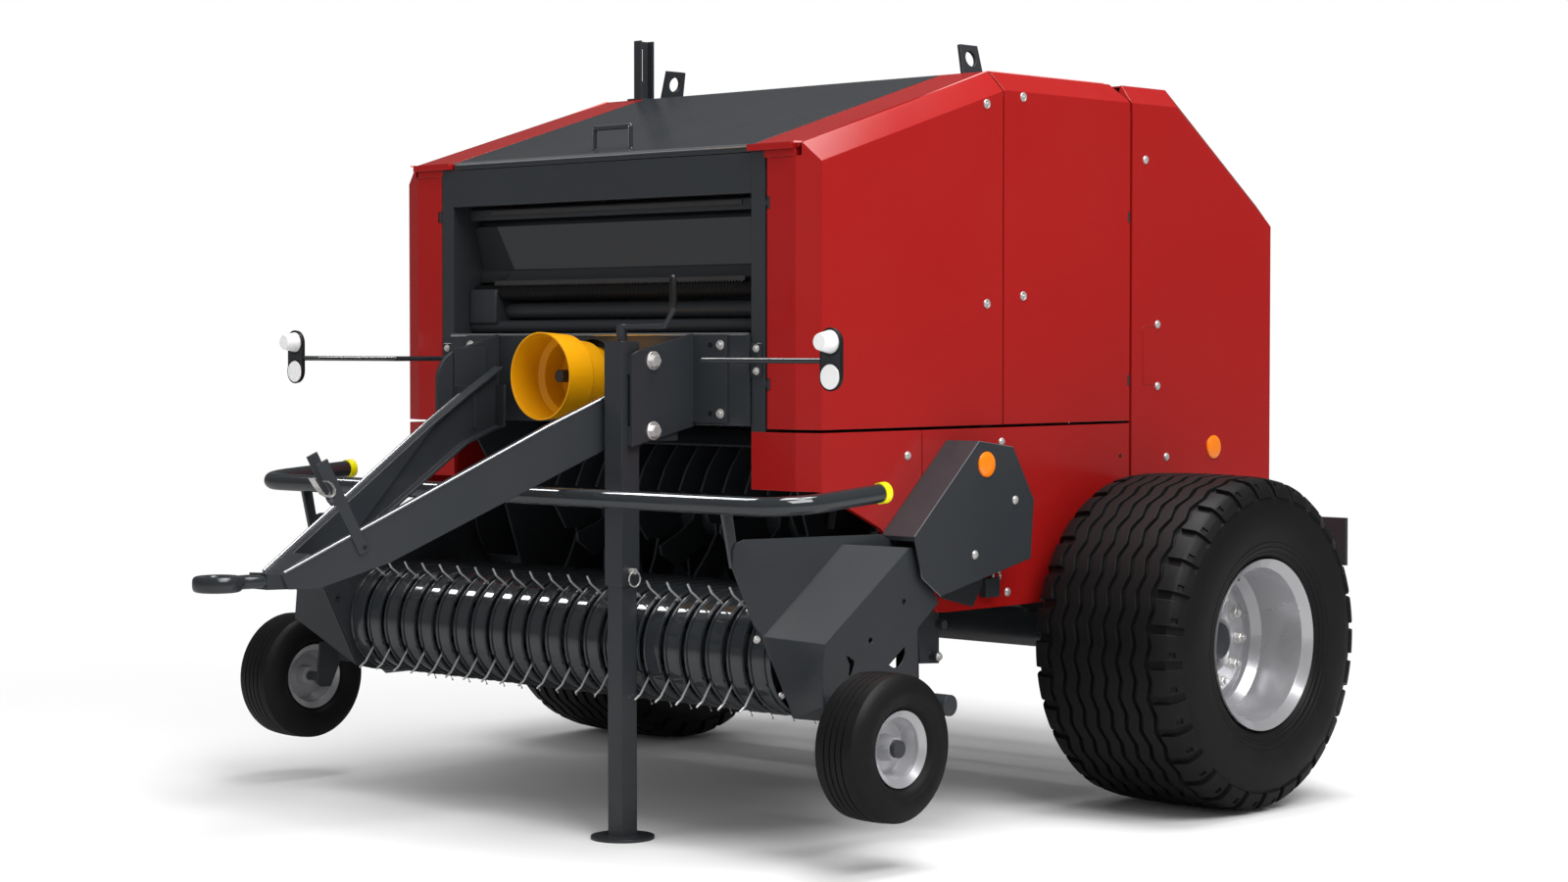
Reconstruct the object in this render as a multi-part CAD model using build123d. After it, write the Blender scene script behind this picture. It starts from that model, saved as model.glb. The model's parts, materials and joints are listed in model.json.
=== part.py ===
from build123d import *
import math
import os

# Round baler, drawn around its axle and then moved along X to its stored place.
# +X is the driving direction, +Y the left side, +Z up, sizes in millimetres.
# While drawn, X = 0 is the axle line, Y = 0 the middle and Z = 0 the ground.

# ---- wheels and axle -------------------------------------------------------
TYRE_R = 466.0              # main tyre, outer radius
TYRE_W = 500.0              # main tyre, width
TYRE_GAP = 37.5             # between the main tyres and the side panels
RIM_R = 216.0               # bead seat radius of the main rim
RIM_FLANGE_R = 237.0        # outer radius of the main rim's flange
RIM_DISH = 22.0             # wheel disc, outboard of the tyre's middle
AXLE_SIZE = 110.0           # square axle beam
AXLE_DROP = 56.0            # axle centre line below the beam's top face
HUB_R = 62.0                # wheel hub
AXLE_STUB_R = 40.0          # stub axle in the hub
RUN_GAP = 0.3               # running clearance on radius

# ---- body ------------------------------------------------------------------
BODY_HALF = 821.0           # side panels' outer face from the middle
WALL_IN = 594.0             # chamber half width, inner face of the side walls
WALL_T = 8.0                # chamber side wall
PANEL_T = 16.0              # outer panels and doors, over their folded edges
DOOR_GAP = 5.0              # seam between panels that move apart
FRONT_X = 1272.0            # front face of the body
SPLIT_X = -72.0             # plane where the tailgate parts from the body
BACK_X = -786.0             # rear face of the tailgate
RIDGE_Z = 2043.0            # flat part of the roof
ROOF_BREAK_X = 512.0        # where the front slope of the roof starts
ROOF_FRONT_Z = 1812.0       # roof height at the front face
ROOF_REAR_X = -312.0        # where the rear slope of the roof starts
ROOF_REAR_Z = 1720.0        # height of the rear slope's foot
FACET = 55.0                # bevel along the roof's long edges
CORNER_X = 24.0             # vertical bevel at the front corners, along X
CORNER_Y = 70.0             # the same bevel, along Y
POST_W = 49.0               # dark front posts, width
POST_D = 50.0               # dark front posts, depth
CAP_T = 12.0                # fixed roof plates
LID_T = 18.0                # roof lid
LID_REAR_X = 440.0          # rear edge of the roof lid
DOOR_Z = 1074.0             # lower edge of the doors
SKIRT_Z = 1066.0            # upper edge of the lower skirts
SKIRT_LOW_Z = 574.0         # lower edge of the lower skirts
SEAM_X = 512.0              # seam between the front and rear doors
LIP_X = 18.0                # roof cap's overhang in front of the body
LIP_Z = 17.0                # depth of that overhang

# ---- door and lid hinges ---------------------------------------------------
BEAD_R = 8.0                # rolled hinge edge of a door
PIN_R = 4.0                 # hinge pin
PIN_REACH = 25.0            # pin in the bead, each side of the lug
LUG_LEN = 30.0              # hinge lug on the frame
DOOR_LUG_Z = (1190.0, 1660.0)
LID_LUG_Y = (-420.0, 420.0)
SIDE_POST_Y = (725.0, 760.0)  # posts behind the side doors

# ---- front frame -----------------------------------------------------------
HEADER_LOW_Z = 1688.0       # lower edge of the front header
HEADER_D = 110.0            # header depth
CROSS_LOW_Z = 1080.0        # cross panel, lower edge
CROSS_TOP_Z = 1321.0        # cross panel, upper edge
CROSS_X = 1282.0            # cross panel, front face
SHEET_T = 8.0               # folded frame sheets

# ---- bale chamber ----------------------------------------------------------
CHAMBER_Z = 1290.0          # chamber centre height
CHAMBER_R = 580.0           # bale radius
ROLLER_R = 76.0             # pressing rollers
ROLLER_RIB = 6.0            # ribs on the rollers
SLAT_R = 14.0               # conveyor slats
SLAT_PITCH = 135.0          # distance between slats along the chain
CHAIN_RAD = 668.0           # outer run of the conveyor, from the chamber centre
CHAIN_H = 34.0              # conveyor chain, height of its outline
CHAIN_W = 25.0              # conveyor chain, width
GUIDE_W = 19.0              # guide rail between chain and wall
ROLLER_ANGLES = (-80.0, -56.0, -8.0, 13.0, 34.0, 55.0, 76.0)
TAIL_HINGE_X = -64.0        # tailgate hinge
TAIL_HINGE_DROP = 33.0      # hinge below the ridge
TAIL_PIN_R = 20.0
TAIL_BOSS_R = 32.0          # rings round the hinge pins
TAIL_LOW_Z = 650.0          # lower edge of the tailgate
NOTCH_DEPTH = 26.0          # foot of the roof's notch below the hinge
NOTCH_FRONT_X = -12.0       # notch sides, taken at NOTCH_TOP above the ridge
NOTCH_REAR_X = -116.0
NOTCH_TOP = 40.0

# ---- feed rotor ------------------------------------------------------------
ROTOR_X = 800.0             # feed rotor axis, also the pickup's pivot
ROTOR_Z = 800.0
STAR_R = 240.0              # rotor star plates
STAR_COUNT = 13
STAR_T = 10.0
ROTOR_TUBE_R = 60.0
SHAFT_R = 30.0
AUGER_R = 196.0             # side auger flights
FEED_GAP = 20.0             # floor below the star tips
PIVOT_R = 45.0              # boss that carries the pickup
END_PLATE_T = 6.0           # auger housing's end plate
COVER_W = 114.0             # drive covers, outward from the side panels
COVER_OUTLINE = (
    (752, 1037),
    (609, 1018),
    (519, 873),
    (532, 713),
    (910, 633),
    (985, 684),
    (1017, 794),
)

# ---- pickup ----------------------------------------------------------------
REEL_X = 1315.0
REEL_Z = 499.0
TINE_PITCH = 76.0
TINES_PER_ROW = 21
TINE_T = 7.0
TINE_LEAN = 7.0             # how far a tine trails at its kink
ROW_ANGLES = (55.0, -36.0, -119.0, 145.0)
BAR_SIZE = 34.0             # square tine bars
BAND_R = 150.0              # stripper bands
BAND_W = 58.0
BAND_T = 3.0
BAND_REACH = 262.0          # upper leg of a stripper band behind the reel axis
BAND_SHORTER = 27.0         # lower leg, shorter than the upper one
DISC_GAP = 9.0              # between the reel's discs and the bands
DISC_LIP = 3.0              # discs stand out past the tine bars
TINE_REACH = 69.0           # tine tips beyond the bands
TINE_TIP = 21.0             # radial tip of a tine
PICKUP_GAP = 22.0           # between the side panels and the pickup's inner plates
PICKUP_T = 5.0
PICKUP_W = 72.0             # pickup's side housing over its inner plate
HOUSING_T = 4.0             # sheet of the side housing
HOUSING_OPENINGS = (
    ((1031, 509), (1095, 466), (1077, 456), (1056, 457), (1038, 473), (1029, 491)),
    ((1041, 623), (1041, 629), (1037, 633), (1031, 633), (1027, 629), (1027, 623), (1031, 619), (1037, 619)),
    ((1172, 532), (1172, 538), (1168, 542), (1162, 542), (1158, 538), (1158, 532), (1162, 528), (1168, 528)),
    ((1258, 502), (1246, 499), (1240, 494), (1228, 488), (1228, 476), (1240, 450), (1249, 451), (1244, 478)),
)
REEL_SHAFT_R = 25.0
CROSS_TUBE_R = 28.0
CROSS_TUBE_X = 930.0
CROSS_TUBE_Z = 352.0
CROSS_TUBE_END = 70.0       # tube ends outside the side housings
GUARD_R = 24.0              # tube of the crop guard
GUARD_X = 1629.0
GUARD_Z = 898.0
GUARD_END_X = 1297.0
GUARD_END_Z = 922.0
GUARD_OUT = 145.0           # guard's ends outside the side housings
GUARD_CORNER = 120.0
CAP_R = 27.0                # end caps of the guard
GAUGE_X = 1393.5
GAUGE_OUT = 241.0           # middle of the small wheels outside the side housings
GAUGE_Z = 306.0
GAUGE_R = 185.0
GAUGE_W = 156.0
GAUGE_RIM_R = 95.0
GAUGE_PIN_R = 14.0

# ---- drawbar, jack and drive -----------------------------------------------
EYE_X = 2531.0
EYE_Z = 710.0
EYE_R = 61.0
EYE_BORE_R = 25.0
EYE_T = 40.0
BEAM_FRONT_X = 2366.0       # where the two beams meet the nose
BEAM_FRONT_Y = 40.0
BEAM_SPREAD = 0.2975        # how fast the beams part, Y over X
BEAM_T = 10.0
BEAM_TOP = ((2369, 727), (1670, 1082), (1508, 1157), (1335, 1232))
BEAM_LOW = ((1335, 1062), (1509, 1019), (2093, 744), (2274, 687), (2349, 688))
BEAM_FLANGE = 30.0
CRADLE_FOOT = (2158, 772)   # lower end of the drive shaft's cradle on the left beam
CRADLE_LEAN = 26.0          # degrees that it leans forward
CRADLE_H = 257.0
CRADLE_W = 30.0
CRADLE_T = 5.0
CRADLE_DEEP = 50.0          # hook's depth
BRACKET_Y = 385.0
BRACKET_T = 10.0
JACK_Y = 342.0              # in line with a stripper band, so that tines pass the leg
JACK_TUBE = 64.0
JACK_WALL = 5.0
JACK_OVER = 15.0            # lower end of the jack's tube over the bands
JACK_TOP_Z = 1295.0
FOOT_R = 83.5
FOOT_T = 8.0
PTO_Z = 1208.0
PTO_SHAFT_R = 17.4
PTO_SHAFT_X = 1405.0
GEARBOX_X = 1240.0          # front face of the gearbox

# ---- lamps, lugs, rear -----------------------------------------------------
LAMP_X = 1472.0
LAMP_Y = 1063.0
LAMP_Z = 1257.0
LAMP_R = 32.0
LUG_X = 382.0
LUG_W = 89.0
LUG_H = 93.0
LUG_HOLE_R = 22.5
LUG_T = 10.0
LUG_LEAN = 12.0             # degrees that the lugs lean inward
LIGHT_BOARD_X = -900.0

REAR_REACH = -LIGHT_BOARD_X
FRONT_REACH = EYE_X + EYE_R
SHIFT_X = -(FRONT_REACH - REAR_REACH) / 2

COVER_OUT = BODY_HALF + COVER_W
PICKUP_IN = BODY_HALF + PICKUP_GAP
PICKUP_OUT = PICKUP_IN + PICKUP_W
CROSS_TUBE_HALF = PICKUP_OUT + CROSS_TUBE_END
GUARD_HALF = PICKUP_OUT + GUARD_OUT
GAUGE_Y = PICKUP_OUT + GAUGE_OUT
STAR_PITCH = 2 * (WALL_IN - 48) / STAR_COUNT
TAIL_HINGE_Z = RIDGE_Z - TAIL_HINGE_DROP
JACK_X = REEL_X + BAND_R + JACK_TUBE / 2
JACK_LOW_Z = REEL_Z + BAND_R + JACK_OVER
BRACKET_FRONT_X = JACK_X + 12

DISC_R = BAND_R - BAND_T - DISC_GAP
BAR_MID_R = DISC_R - DISC_LIP - BAR_SIZE / 2
TINE_TIP_R = BAND_R + TINE_REACH
TINE_KINK_R = TINE_TIP_R - TINE_TIP

FRONT_HINGE = (FRONT_X - BEAD_R, WALL_IN + POST_W + 3 + BEAD_R)
REAR_HINGE = (SPLIT_X + BEAD_R, BODY_HALF - BEAD_R)
CAP_EDGE_Y = BODY_HALF - FACET - 4
LID_HALF = WALL_IN - 4
AUGER_END = BODY_HALF - PANEL_T - END_PLATE_T

AXLE_Z = TYRE_R
WHEEL_Y = BODY_HALF + TYRE_GAP + TYRE_W / 2
WALL_OUT = WALL_IN + WALL_T
SIDES = (1, -1)


# ---- small building helpers ------------------------------------------------
def block(x0, x1, y0, y1, z0, z1):
    """A box given by its limits."""
    size = Box(x1 - x0, y1 - y0, z1 - z0, align=(Align.MIN, Align.MIN, Align.MIN))
    return Pos(x0, y0, z0) * size


def plate_xz(points, y0, y1):
    """An outline of (x, z) points, as thick as y0 to y1."""
    face = Plane.XZ * Polygon(*points, align=None)
    return Pos(0, y0, 0) * extrude(face, amount=y1 - y0, dir=(0, 1, 0))


def plate_yz(points, x0, x1):
    """An outline of (y, z) points, as thick as x0 to x1."""
    face = Plane.YZ * Polygon(*points, align=None)
    return Pos(x0, 0, 0) * extrude(face, amount=x1 - x0, dir=(1, 0, 0))


def plate_xy(points, z0, z1):
    """An outline of (x, y) points, as thick as z0 to z1."""
    face = Polygon(*points, align=None)
    return Pos(0, 0, z0) * extrude(face, amount=z1 - z0, dir=(0, 0, 1))


def rod(start, end, radius):
    """A round bar between two points."""
    start = Vector(start)
    end = Vector(end)
    bar = Cylinder(radius, (end - start).length, align=(Align.CENTER, Align.CENTER, Align.MIN))
    return Plane(origin=start, z_dir=end - start) * bar


def rod_y(x, z, y0, y1, radius):
    """A round bar along Y."""
    return rod((x, y0, z), (x, y1, z), radius)


def turned(profile, axis, centre=(0, 0, 0)):
    """A full turn of (distance along the axis, radius) points about 'x' or 'y'."""
    face = Plane.XY * Polygon(*profile, align=None)
    body = revolve(face, axis=Axis.X)
    if axis == "y":
        body = Rot(0, 0, 90) * body
    return Pos(*centre) * body


def across(shape):
    """The shape and its mirror image on the other side."""
    return [shape, mirror(shape, about=Plane.XZ)]


def polar(x, z, radius, angle):
    """A point at a radius and angle about (x, z) in the side view."""
    turn = math.radians(angle)
    return (x + radius * math.cos(turn), z + radius * math.sin(turn))


def arc_points(x, z, radius, start, end, steps):
    """Points along an arc in the side view."""
    return [polar(x, z, radius, start + (end - start) * i / steps) for i in range(steps + 1)]


def arc_band(x, z, inner, outer, start, end, y0, y1, steps=12):
    """A curved strip between two radii, made of flat facets as rolled sheet is drawn."""
    outline = arc_points(x, z, outer, start, end, steps) + arc_points(x, z, inner, end, start, steps)
    return plate_xz(outline, y0, y1)


def save(name, shapes):
    """Write one node, moved from the axle frame to its stored place."""
    solids = [solid for shape in shapes for solid in shape.solids()]
    place = Location((SHIFT_X, 0, 0))
    export_step(Compound([solid.moved(place) for solid in solids]), f"parts/{name}.step")


# ---- body shell ------------------------------------------------------------
def roof_z(x):
    """Height of the roof at x."""
    if x <= ROOF_REAR_X:
        share = (x - BACK_X) / (ROOF_REAR_X - BACK_X)
        return ROOF_REAR_Z + share * (RIDGE_Z - ROOF_REAR_Z)
    if x <= ROOF_BREAK_X:
        return RIDGE_Z
    share = (x - ROOF_BREAK_X) / (FRONT_X - ROOF_BREAK_X)
    return RIDGE_Z + share * (ROOF_FRONT_Z - RIDGE_Z)


def roof_strip(x0, x1, depth0, depth1):
    """Outline between two depths below the roof, from x0 to x1."""
    stations = [x0] + [x for x in (ROOF_REAR_X, ROOF_BREAK_X) if x0 < x < x1] + [x1]
    upper = [(x, roof_z(x) - depth0) for x in stations]
    lower = [(x, roof_z(x) - depth1) for x in reversed(stations)]
    return upper + lower


def half_envelope(x0, x1, low_z, inset):
    """Left half of the body's outer form, set in by the same distance all round."""
    outline = roof_strip(x0, x1, inset, 0)
    top = [point for point in roof_strip(x0, x1, inset, inset)][: len(outline) // 2]
    body = plate_xz(top + [(x1, low_z), (x0, low_z)], 0, BODY_HALF - inset)
    edges = body.edges().filter_by(GeomType.LINE)
    edges = edges.filter_by(lambda e: abs(e.center().Y - (BODY_HALF - inset)) < 0.1)
    edges = edges.filter_by(lambda e: e.center().Z > low_z + 1 and abs(e.tangent_at(0).X) > 0.5)
    return chamfer(edges, FACET - inset * (2 - math.sqrt(2)))


def corner_prism(inset, low_z):
    """Plan of the front corner with its vertical bevel, as a tall prism."""
    points = [
        (SPLIT_X - 10, 0),
        (SPLIT_X - 10, BODY_HALF - inset),
        (FRONT_X - CORNER_X - inset * 0.84, BODY_HALF - inset),
        (FRONT_X - inset, BODY_HALF - CORNER_Y - inset * 0.5),
        (FRONT_X - inset, 0),
    ]
    return plate_xy(points, low_z - 1, RIDGE_Z + 100)


def body_shell():
    """Left half of the body's skin, from which the doors are cut."""
    outer = half_envelope(SPLIT_X, FRONT_X, DOOR_Z, 0) & corner_prism(0, DOOR_Z)
    inner = half_envelope(SPLIT_X - 20, FRONT_X, DOOR_Z - 20, PANEL_T) & corner_prism(PANEL_T, DOOR_Z - 30)
    return outer - inner


def roof_notch():
    """The wedge left open at the roof over the tailgate hinge."""
    top = RIDGE_Z + NOTCH_TOP
    points = [(SPLIT_X, TAIL_HINGE_Z - NOTCH_DEPTH), (NOTCH_FRONT_X, top), (NOTCH_REAR_X, top)]
    return plate_xz(points, 0, BODY_HALF + 1)


# ---- hinges ----------------------------------------------------------------
def upright_hinge_cut(door, x, y, heights):
    """Notches and pin holes for the lugs of a door with an upright hinge edge."""
    for z in heights:
        notch = Cylinder(BEAD_R + 2, LUG_LEN + 2)
        hole = Cylinder(PIN_R + RUN_GAP, LUG_LEN + 2 * PIN_REACH + 2)
        door = door - Pos(x, y, z) * notch - Pos(x, y, z) * hole
    return door


def upright_lug(x, y, z, arm):
    """Hinge lug with its pin, and the arm that carries it."""
    lug = Pos(x, y, z) * Cylinder(BEAD_R, LUG_LEN)
    pin = Pos(x, y, z) * Cylinder(PIN_R, LUG_LEN + 2 * PIN_REACH)
    return lug + pin + arm


# ---- doors -----------------------------------------------------------------


def front_door():
    """Left front door: front strip, bevelled corner, side and roof facet."""
    x_hinge, y_hinge = FRONT_HINGE
    door = body_shell() & block(SEAM_X + DOOR_GAP / 2, FRONT_X, y_hinge, BODY_HALF, DOOR_Z, RIDGE_Z + 50)
    above = roof_strip(SPLIT_X, FRONT_X + 50, -100, CAP_T + 24)
    door = door - plate_xz(above, 0, CAP_EDGE_Y + DOOR_GAP)
    door = door - block(FRONT_X - 60, FRONT_X + 1, 0, CAP_EDGE_Y + DOOR_GAP, ROOF_FRONT_Z - LIP_Z - DOOR_GAP, 2200)
    bead_top = ROOF_FRONT_Z - LIP_Z - DOOR_GAP
    bead = rod((x_hinge, y_hinge, DOOR_Z), (x_hinge, y_hinge, bead_top), BEAD_R)
    return upright_hinge_cut(door + bead, x_hinge, y_hinge, DOOR_LUG_Z)


def rear_door():
    """Left rear door: side and roof facet, hinged along its rear edge."""
    x_hinge, y_hinge = REAR_HINGE
    door = body_shell() & block(x_hinge, SEAM_X - DOOR_GAP / 2, 0, BODY_HALF, DOOR_Z, RIDGE_Z + 50)
    above = roof_strip(SPLIT_X, FRONT_X, -100, CAP_T + 24)
    door = door - plate_xz(above, 0, CAP_EDGE_Y + DOOR_GAP) - roof_notch()
    bead = rod((x_hinge, y_hinge, DOOR_Z), (x_hinge, y_hinge, RIDGE_Z - FACET - 24), BEAD_R)
    return upright_hinge_cut(door + bead, x_hinge, y_hinge, DOOR_LUG_Z)


def door_posts():
    """Posts behind the door seam and behind the rear hinge, with the hinge lugs."""
    y0, y1 = SIDE_POST_Y
    top = RIDGE_Z - CAP_T
    x_hinge, y_hinge = REAR_HINGE
    rear = block(x_hinge + 6, x_hinge + 46, y0, y1, SKIRT_Z, top)
    seam = block(SEAM_X - 25, SEAM_X + 25, y0, y1, SKIRT_Z, roof_z(SEAM_X + 25) - CAP_T)
    for z in DOOR_LUG_Z:
        arm = block(x_hinge - 6, x_hinge + 6, y1 - 8, y_hinge, z - 6, z + 6)
        arm = arm + block(x_hinge - 6, x_hinge + 20, y1 - 8, y1 + 4, z - 6, z + 6)
        rear = rear + upright_lug(x_hinge, y_hinge, z, arm)
    return [rear, seam]


# ---- fixed frame -----------------------------------------------------------
def chamber_walls():
    """Side walls with roller bearings, the tailgate pin and the axle legs."""
    top = [(x, z) for x, z in roof_strip(TAIL_HINGE_X + 30, FRONT_X - POST_D, CAP_T, CAP_T)]
    top = top[: len(top) // 2]
    outline = top + [
        (FRONT_X - POST_D, CROSS_LOW_Z),
        (1100, 900),
        (1065, 800),
        (1010, 640),
        (930, 560),
        (800, 530),
        (600, 545),
        (480, 600),
        (200, 560),
        (120, AXLE_Z + AXLE_DROP),
        (-55, AXLE_Z + AXLE_DROP),
        (SPLIT_X + 6, 640),
        (SPLIT_X + 6, TAIL_HINGE_Z - 60),
    ]
    wall = plate_xz(outline, WALL_IN, WALL_OUT)
    wall = wall + rod_y(TAIL_HINGE_X, TAIL_HINGE_Z, WALL_IN, WALL_OUT, TAIL_BOSS_R)
    wall = wall + rod_y(TAIL_HINGE_X, TAIL_HINGE_Z, WALL_OUT, WALL_OUT + 26, TAIL_PIN_R)
    for angle in ROLLER_ANGLES:
        x, z = polar(SPLIT_X, CHAMBER_Z, CHAMBER_R + ROLLER_R, angle)
        wall = wall + rod_y(x, z, WALL_OUT, WALL_OUT + 22, 46)
    wall = wall - rod_y(ROTOR_X, ROTOR_Z, WALL_IN - 1, WALL_OUT + 1, SHAFT_R + 6)
    return across(wall)


def chamber_rollers():
    """Ribbed pressing rollers between the side walls."""
    rollers = []
    for angle in ROLLER_ANGLES:
        x, z = polar(SPLIT_X, CHAMBER_Z, CHAMBER_R + ROLLER_R, angle)
        roller = rod_y(0, 0, -WALL_IN + 6, WALL_IN - 6, ROLLER_R - ROLLER_RIB)
        for turn in range(0, 360, 45):
            rib = block(-4, 4, -WALL_IN + 6, WALL_IN - 6, ROLLER_R - 2 * ROLLER_RIB, ROLLER_R)
            roller = roller + Rot(0, turn, 0) * rib
        roller = roller + rod_y(0, 0, -WALL_IN, WALL_IN, 30)
        rollers.append(Pos(x, 0, z) * roller)
    return rollers


def front_header():
    """Folded header over the front opening."""
    top = ROOF_FRONT_Z - LID_T - 2
    back = FRONT_X - HEADER_D
    outline = [
        (FRONT_X, HEADER_LOW_Z),
        (FRONT_X, top),
        (back, top),
        (back, top - SHEET_T),
        (FRONT_X - SHEET_T, top - SHEET_T),
        (FRONT_X - SHEET_T, HEADER_LOW_Z + SHEET_T),
        (FRONT_X - 45, HEADER_LOW_Z + SHEET_T),
        (FRONT_X - 45, HEADER_LOW_Z),
    ]
    return [plate_xz(outline, -WALL_IN, WALL_IN)]


def front_posts():
    """Dark angle posts beside the opening, with the front doors' hinge lugs."""
    x_hinge, y_hinge = FRONT_HINGE
    top = ROOF_FRONT_Z - LIP_Z
    outline = [
        (FRONT_X - POST_D, WALL_IN),
        (FRONT_X, WALL_IN),
        (FRONT_X, WALL_IN + POST_W),
        (FRONT_X - POST_D, WALL_IN + POST_W),
        (FRONT_X - POST_D, WALL_IN + POST_W - SHEET_T),
        (FRONT_X - SHEET_T, WALL_IN + POST_W - SHEET_T),
        (FRONT_X - SHEET_T, WALL_OUT),
        (FRONT_X - POST_D, WALL_OUT),
    ]
    post = plate_xy(outline, SKIRT_Z, top)
    for z in DOOR_LUG_Z:
        arm = block(x_hinge - 6, x_hinge + 6, WALL_IN + POST_W - 4, y_hinge, z - 6, z + 6)
        post = post + upright_lug(x_hinge, y_hinge, z, arm)
    return across(post)


def cross_panel():
    """Folded panel across the front that carries the drawbar brackets."""
    back = CROSS_X - 90
    outline = [
        (CROSS_X, CROSS_LOW_Z),
        (CROSS_X, CROSS_TOP_Z),
        (back, CROSS_TOP_Z),
        (back, CROSS_TOP_Z - SHEET_T),
        (CROSS_X - SHEET_T, CROSS_TOP_Z - SHEET_T),
        (CROSS_X - SHEET_T, CROSS_LOW_Z + SHEET_T),
        (back, CROSS_LOW_Z + SHEET_T),
        (back, CROSS_LOW_Z),
    ]
    panel = plate_xz(outline, -WALL_IN, WALL_IN)
    panel = panel - rod((CROSS_X - 20, 0, PTO_Z), (CROSS_X + 5, 0, PTO_Z), 100)
    return [panel]


def roof_caps():
    """Fixed roof plates between the lid and the doors, with a front overhang."""
    inner = WALL_IN + 2
    strip = roof_strip(-15, FRONT_X, 0, CAP_T)
    cap = plate_xz(strip, inner, CAP_EDGE_Y)
    lip = block(FRONT_X, FRONT_X + LIP_X, WALL_IN, BODY_HALF - CORNER_Y, ROOF_FRONT_Z - LIP_Z, ROOF_FRONT_Z)
    lip = lip + block(
        FRONT_X - POST_D, FRONT_X, inner, BODY_HALF - CORNER_Y, ROOF_FRONT_Z - LIP_Z, ROOF_FRONT_Z
    )
    return across(cap + lip)


def roof_panel():
    """Fixed panel behind the lid, with side flanges and the lid's hinge lugs."""
    front = LID_REAR_X - BEAD_R - DOOR_GAP
    panel = block(-15, front, -WALL_IN, WALL_IN, RIDGE_Z - CAP_T, RIDGE_Z)
    for side in SIDES:
        y0, y1 = sorted((side * WALL_IN, side * (WALL_IN - SHEET_T)))
        panel = panel + block(-15, front, y0, y1, RIDGE_Z - 36, RIDGE_Z)
    z_axis = RIDGE_Z - BEAD_R
    for y in LID_LUG_Y:
        lug = rod_y(LID_REAR_X, z_axis, y - LUG_LEN / 2, y + LUG_LEN / 2, BEAD_R)
        lug = lug + rod_y(
            LID_REAR_X, z_axis, y - LUG_LEN / 2 - PIN_REACH, y + LUG_LEN / 2 + PIN_REACH, PIN_R
        )
        lug = lug + block(front - 20, LID_REAR_X, y - 6, y + 6, z_axis - 6, z_axis + 2)
        panel = panel + lug
    return [panel]


def roof_lid():
    """Roof lid with its pull handle, hinged along its rear edge."""
    z_axis = RIDGE_Z - BEAD_R
    lid = plate_xz(roof_strip(LID_REAR_X, FRONT_X, 0, LID_T), -LID_HALF, LID_HALF)
    lid = lid - block(LID_REAR_X - 1, LID_REAR_X + 40, -LID_HALF, LID_HALF, 1900, RIDGE_Z - 2 * BEAD_R)
    lid = lid + rod_y(LID_REAR_X, z_axis, -LID_HALF, LID_HALF, BEAD_R)
    for y in LID_LUG_Y:
        half = LUG_LEN / 2
        lid = lid - rod_y(LID_REAR_X, z_axis, y - half - 1, y + half + 1, BEAD_R + 2)
        reach = half + PIN_REACH + 1
        lid = lid - rod_y(LID_REAR_X, z_axis, y - reach, y + reach, PIN_R + RUN_GAP)
    return [lid + pull_handle()]


def pull_handle():
    """Bent round bar on top of the lid's front edge."""
    half = 72
    foot_x = 1205
    base = roof_z(foot_x) - 6
    top = roof_z(foot_x) + 58
    bar = rod((foot_x, -half, base), (foot_x, -half, top), 7)
    bar = bar + rod((foot_x, half, base), (foot_x, half, top), 7)
    bar = bar + rod((foot_x, -half, top), (foot_x, half, top), 7)
    for side in SIDES:
        bar = bar + Pos(foot_x, side * half, top) * Sphere(7)
    return bar


def lower_skirts():
    """Lower side panels with an inward flange and a front return."""
    outline = [
        (SPLIT_X + 6, SKIRT_Z),
        (FRONT_X - CORNER_X, SKIRT_Z),
        (FRONT_X - CORNER_X, 913),
        (1161, 877),
        (1018, 810),
        (788, SKIRT_LOW_Z + 2),
        (760, SKIRT_LOW_Z),
        (SPLIT_X + 6, SKIRT_LOW_Z),
    ]
    side = plate_xz(outline, BODY_HALF - PANEL_T, BODY_HALF)
    corner = [
        (FRONT_X, WALL_IN),
        (FRONT_X, BODY_HALF - CORNER_Y),
        (FRONT_X - CORNER_X, BODY_HALF),
        (FRONT_X - CORNER_X - PANEL_T, BODY_HALF),
        (FRONT_X - CORNER_X - PANEL_T, BODY_HALF - PANEL_T),
        (FRONT_X - PANEL_T, BODY_HALF - CORNER_Y - 8),
        (FRONT_X - PANEL_T, WALL_IN),
    ]
    side = side + plate_xy(corner, 915, SKIRT_Z)
    side = side + block(SPLIT_X + 6, FRONT_X - 30, SIDE_POST_Y[0], BODY_HALF, SKIRT_Z - PANEL_T, SKIRT_Z)
    side = side - rod_y(ROTOR_X, ROTOR_Z, BODY_HALF - 40, BODY_HALF + 1, PIVOT_R + 12)
    side = side - block(851, 855, BODY_HALF - 3, BODY_HALF + 1, SKIRT_LOW_Z - 1, SKIRT_Z + 1)
    return across(side)


def drive_covers():
    """Covers over the pickup drive, open below where the pickup's arm moves."""
    t = 4
    outer = plate_xz(COVER_OUTLINE, BODY_HALF, COVER_OUT)
    face = Plane.XZ * offset(Polygon(*COVER_OUTLINE, align=None), -t)
    hollow = Pos(0, BODY_HALF - 1, 0) * extrude(face, amount=COVER_OUT - t - BODY_HALF + 1, dir=(0, 1, 0))
    below = [(560, 730), (560, 560), (1060, 560), (1060, 782), (1005, 782)]
    hollow = hollow + plate_xz(below, BODY_HALF - 1, COVER_OUT - t)
    return across(outer - hollow)


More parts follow.
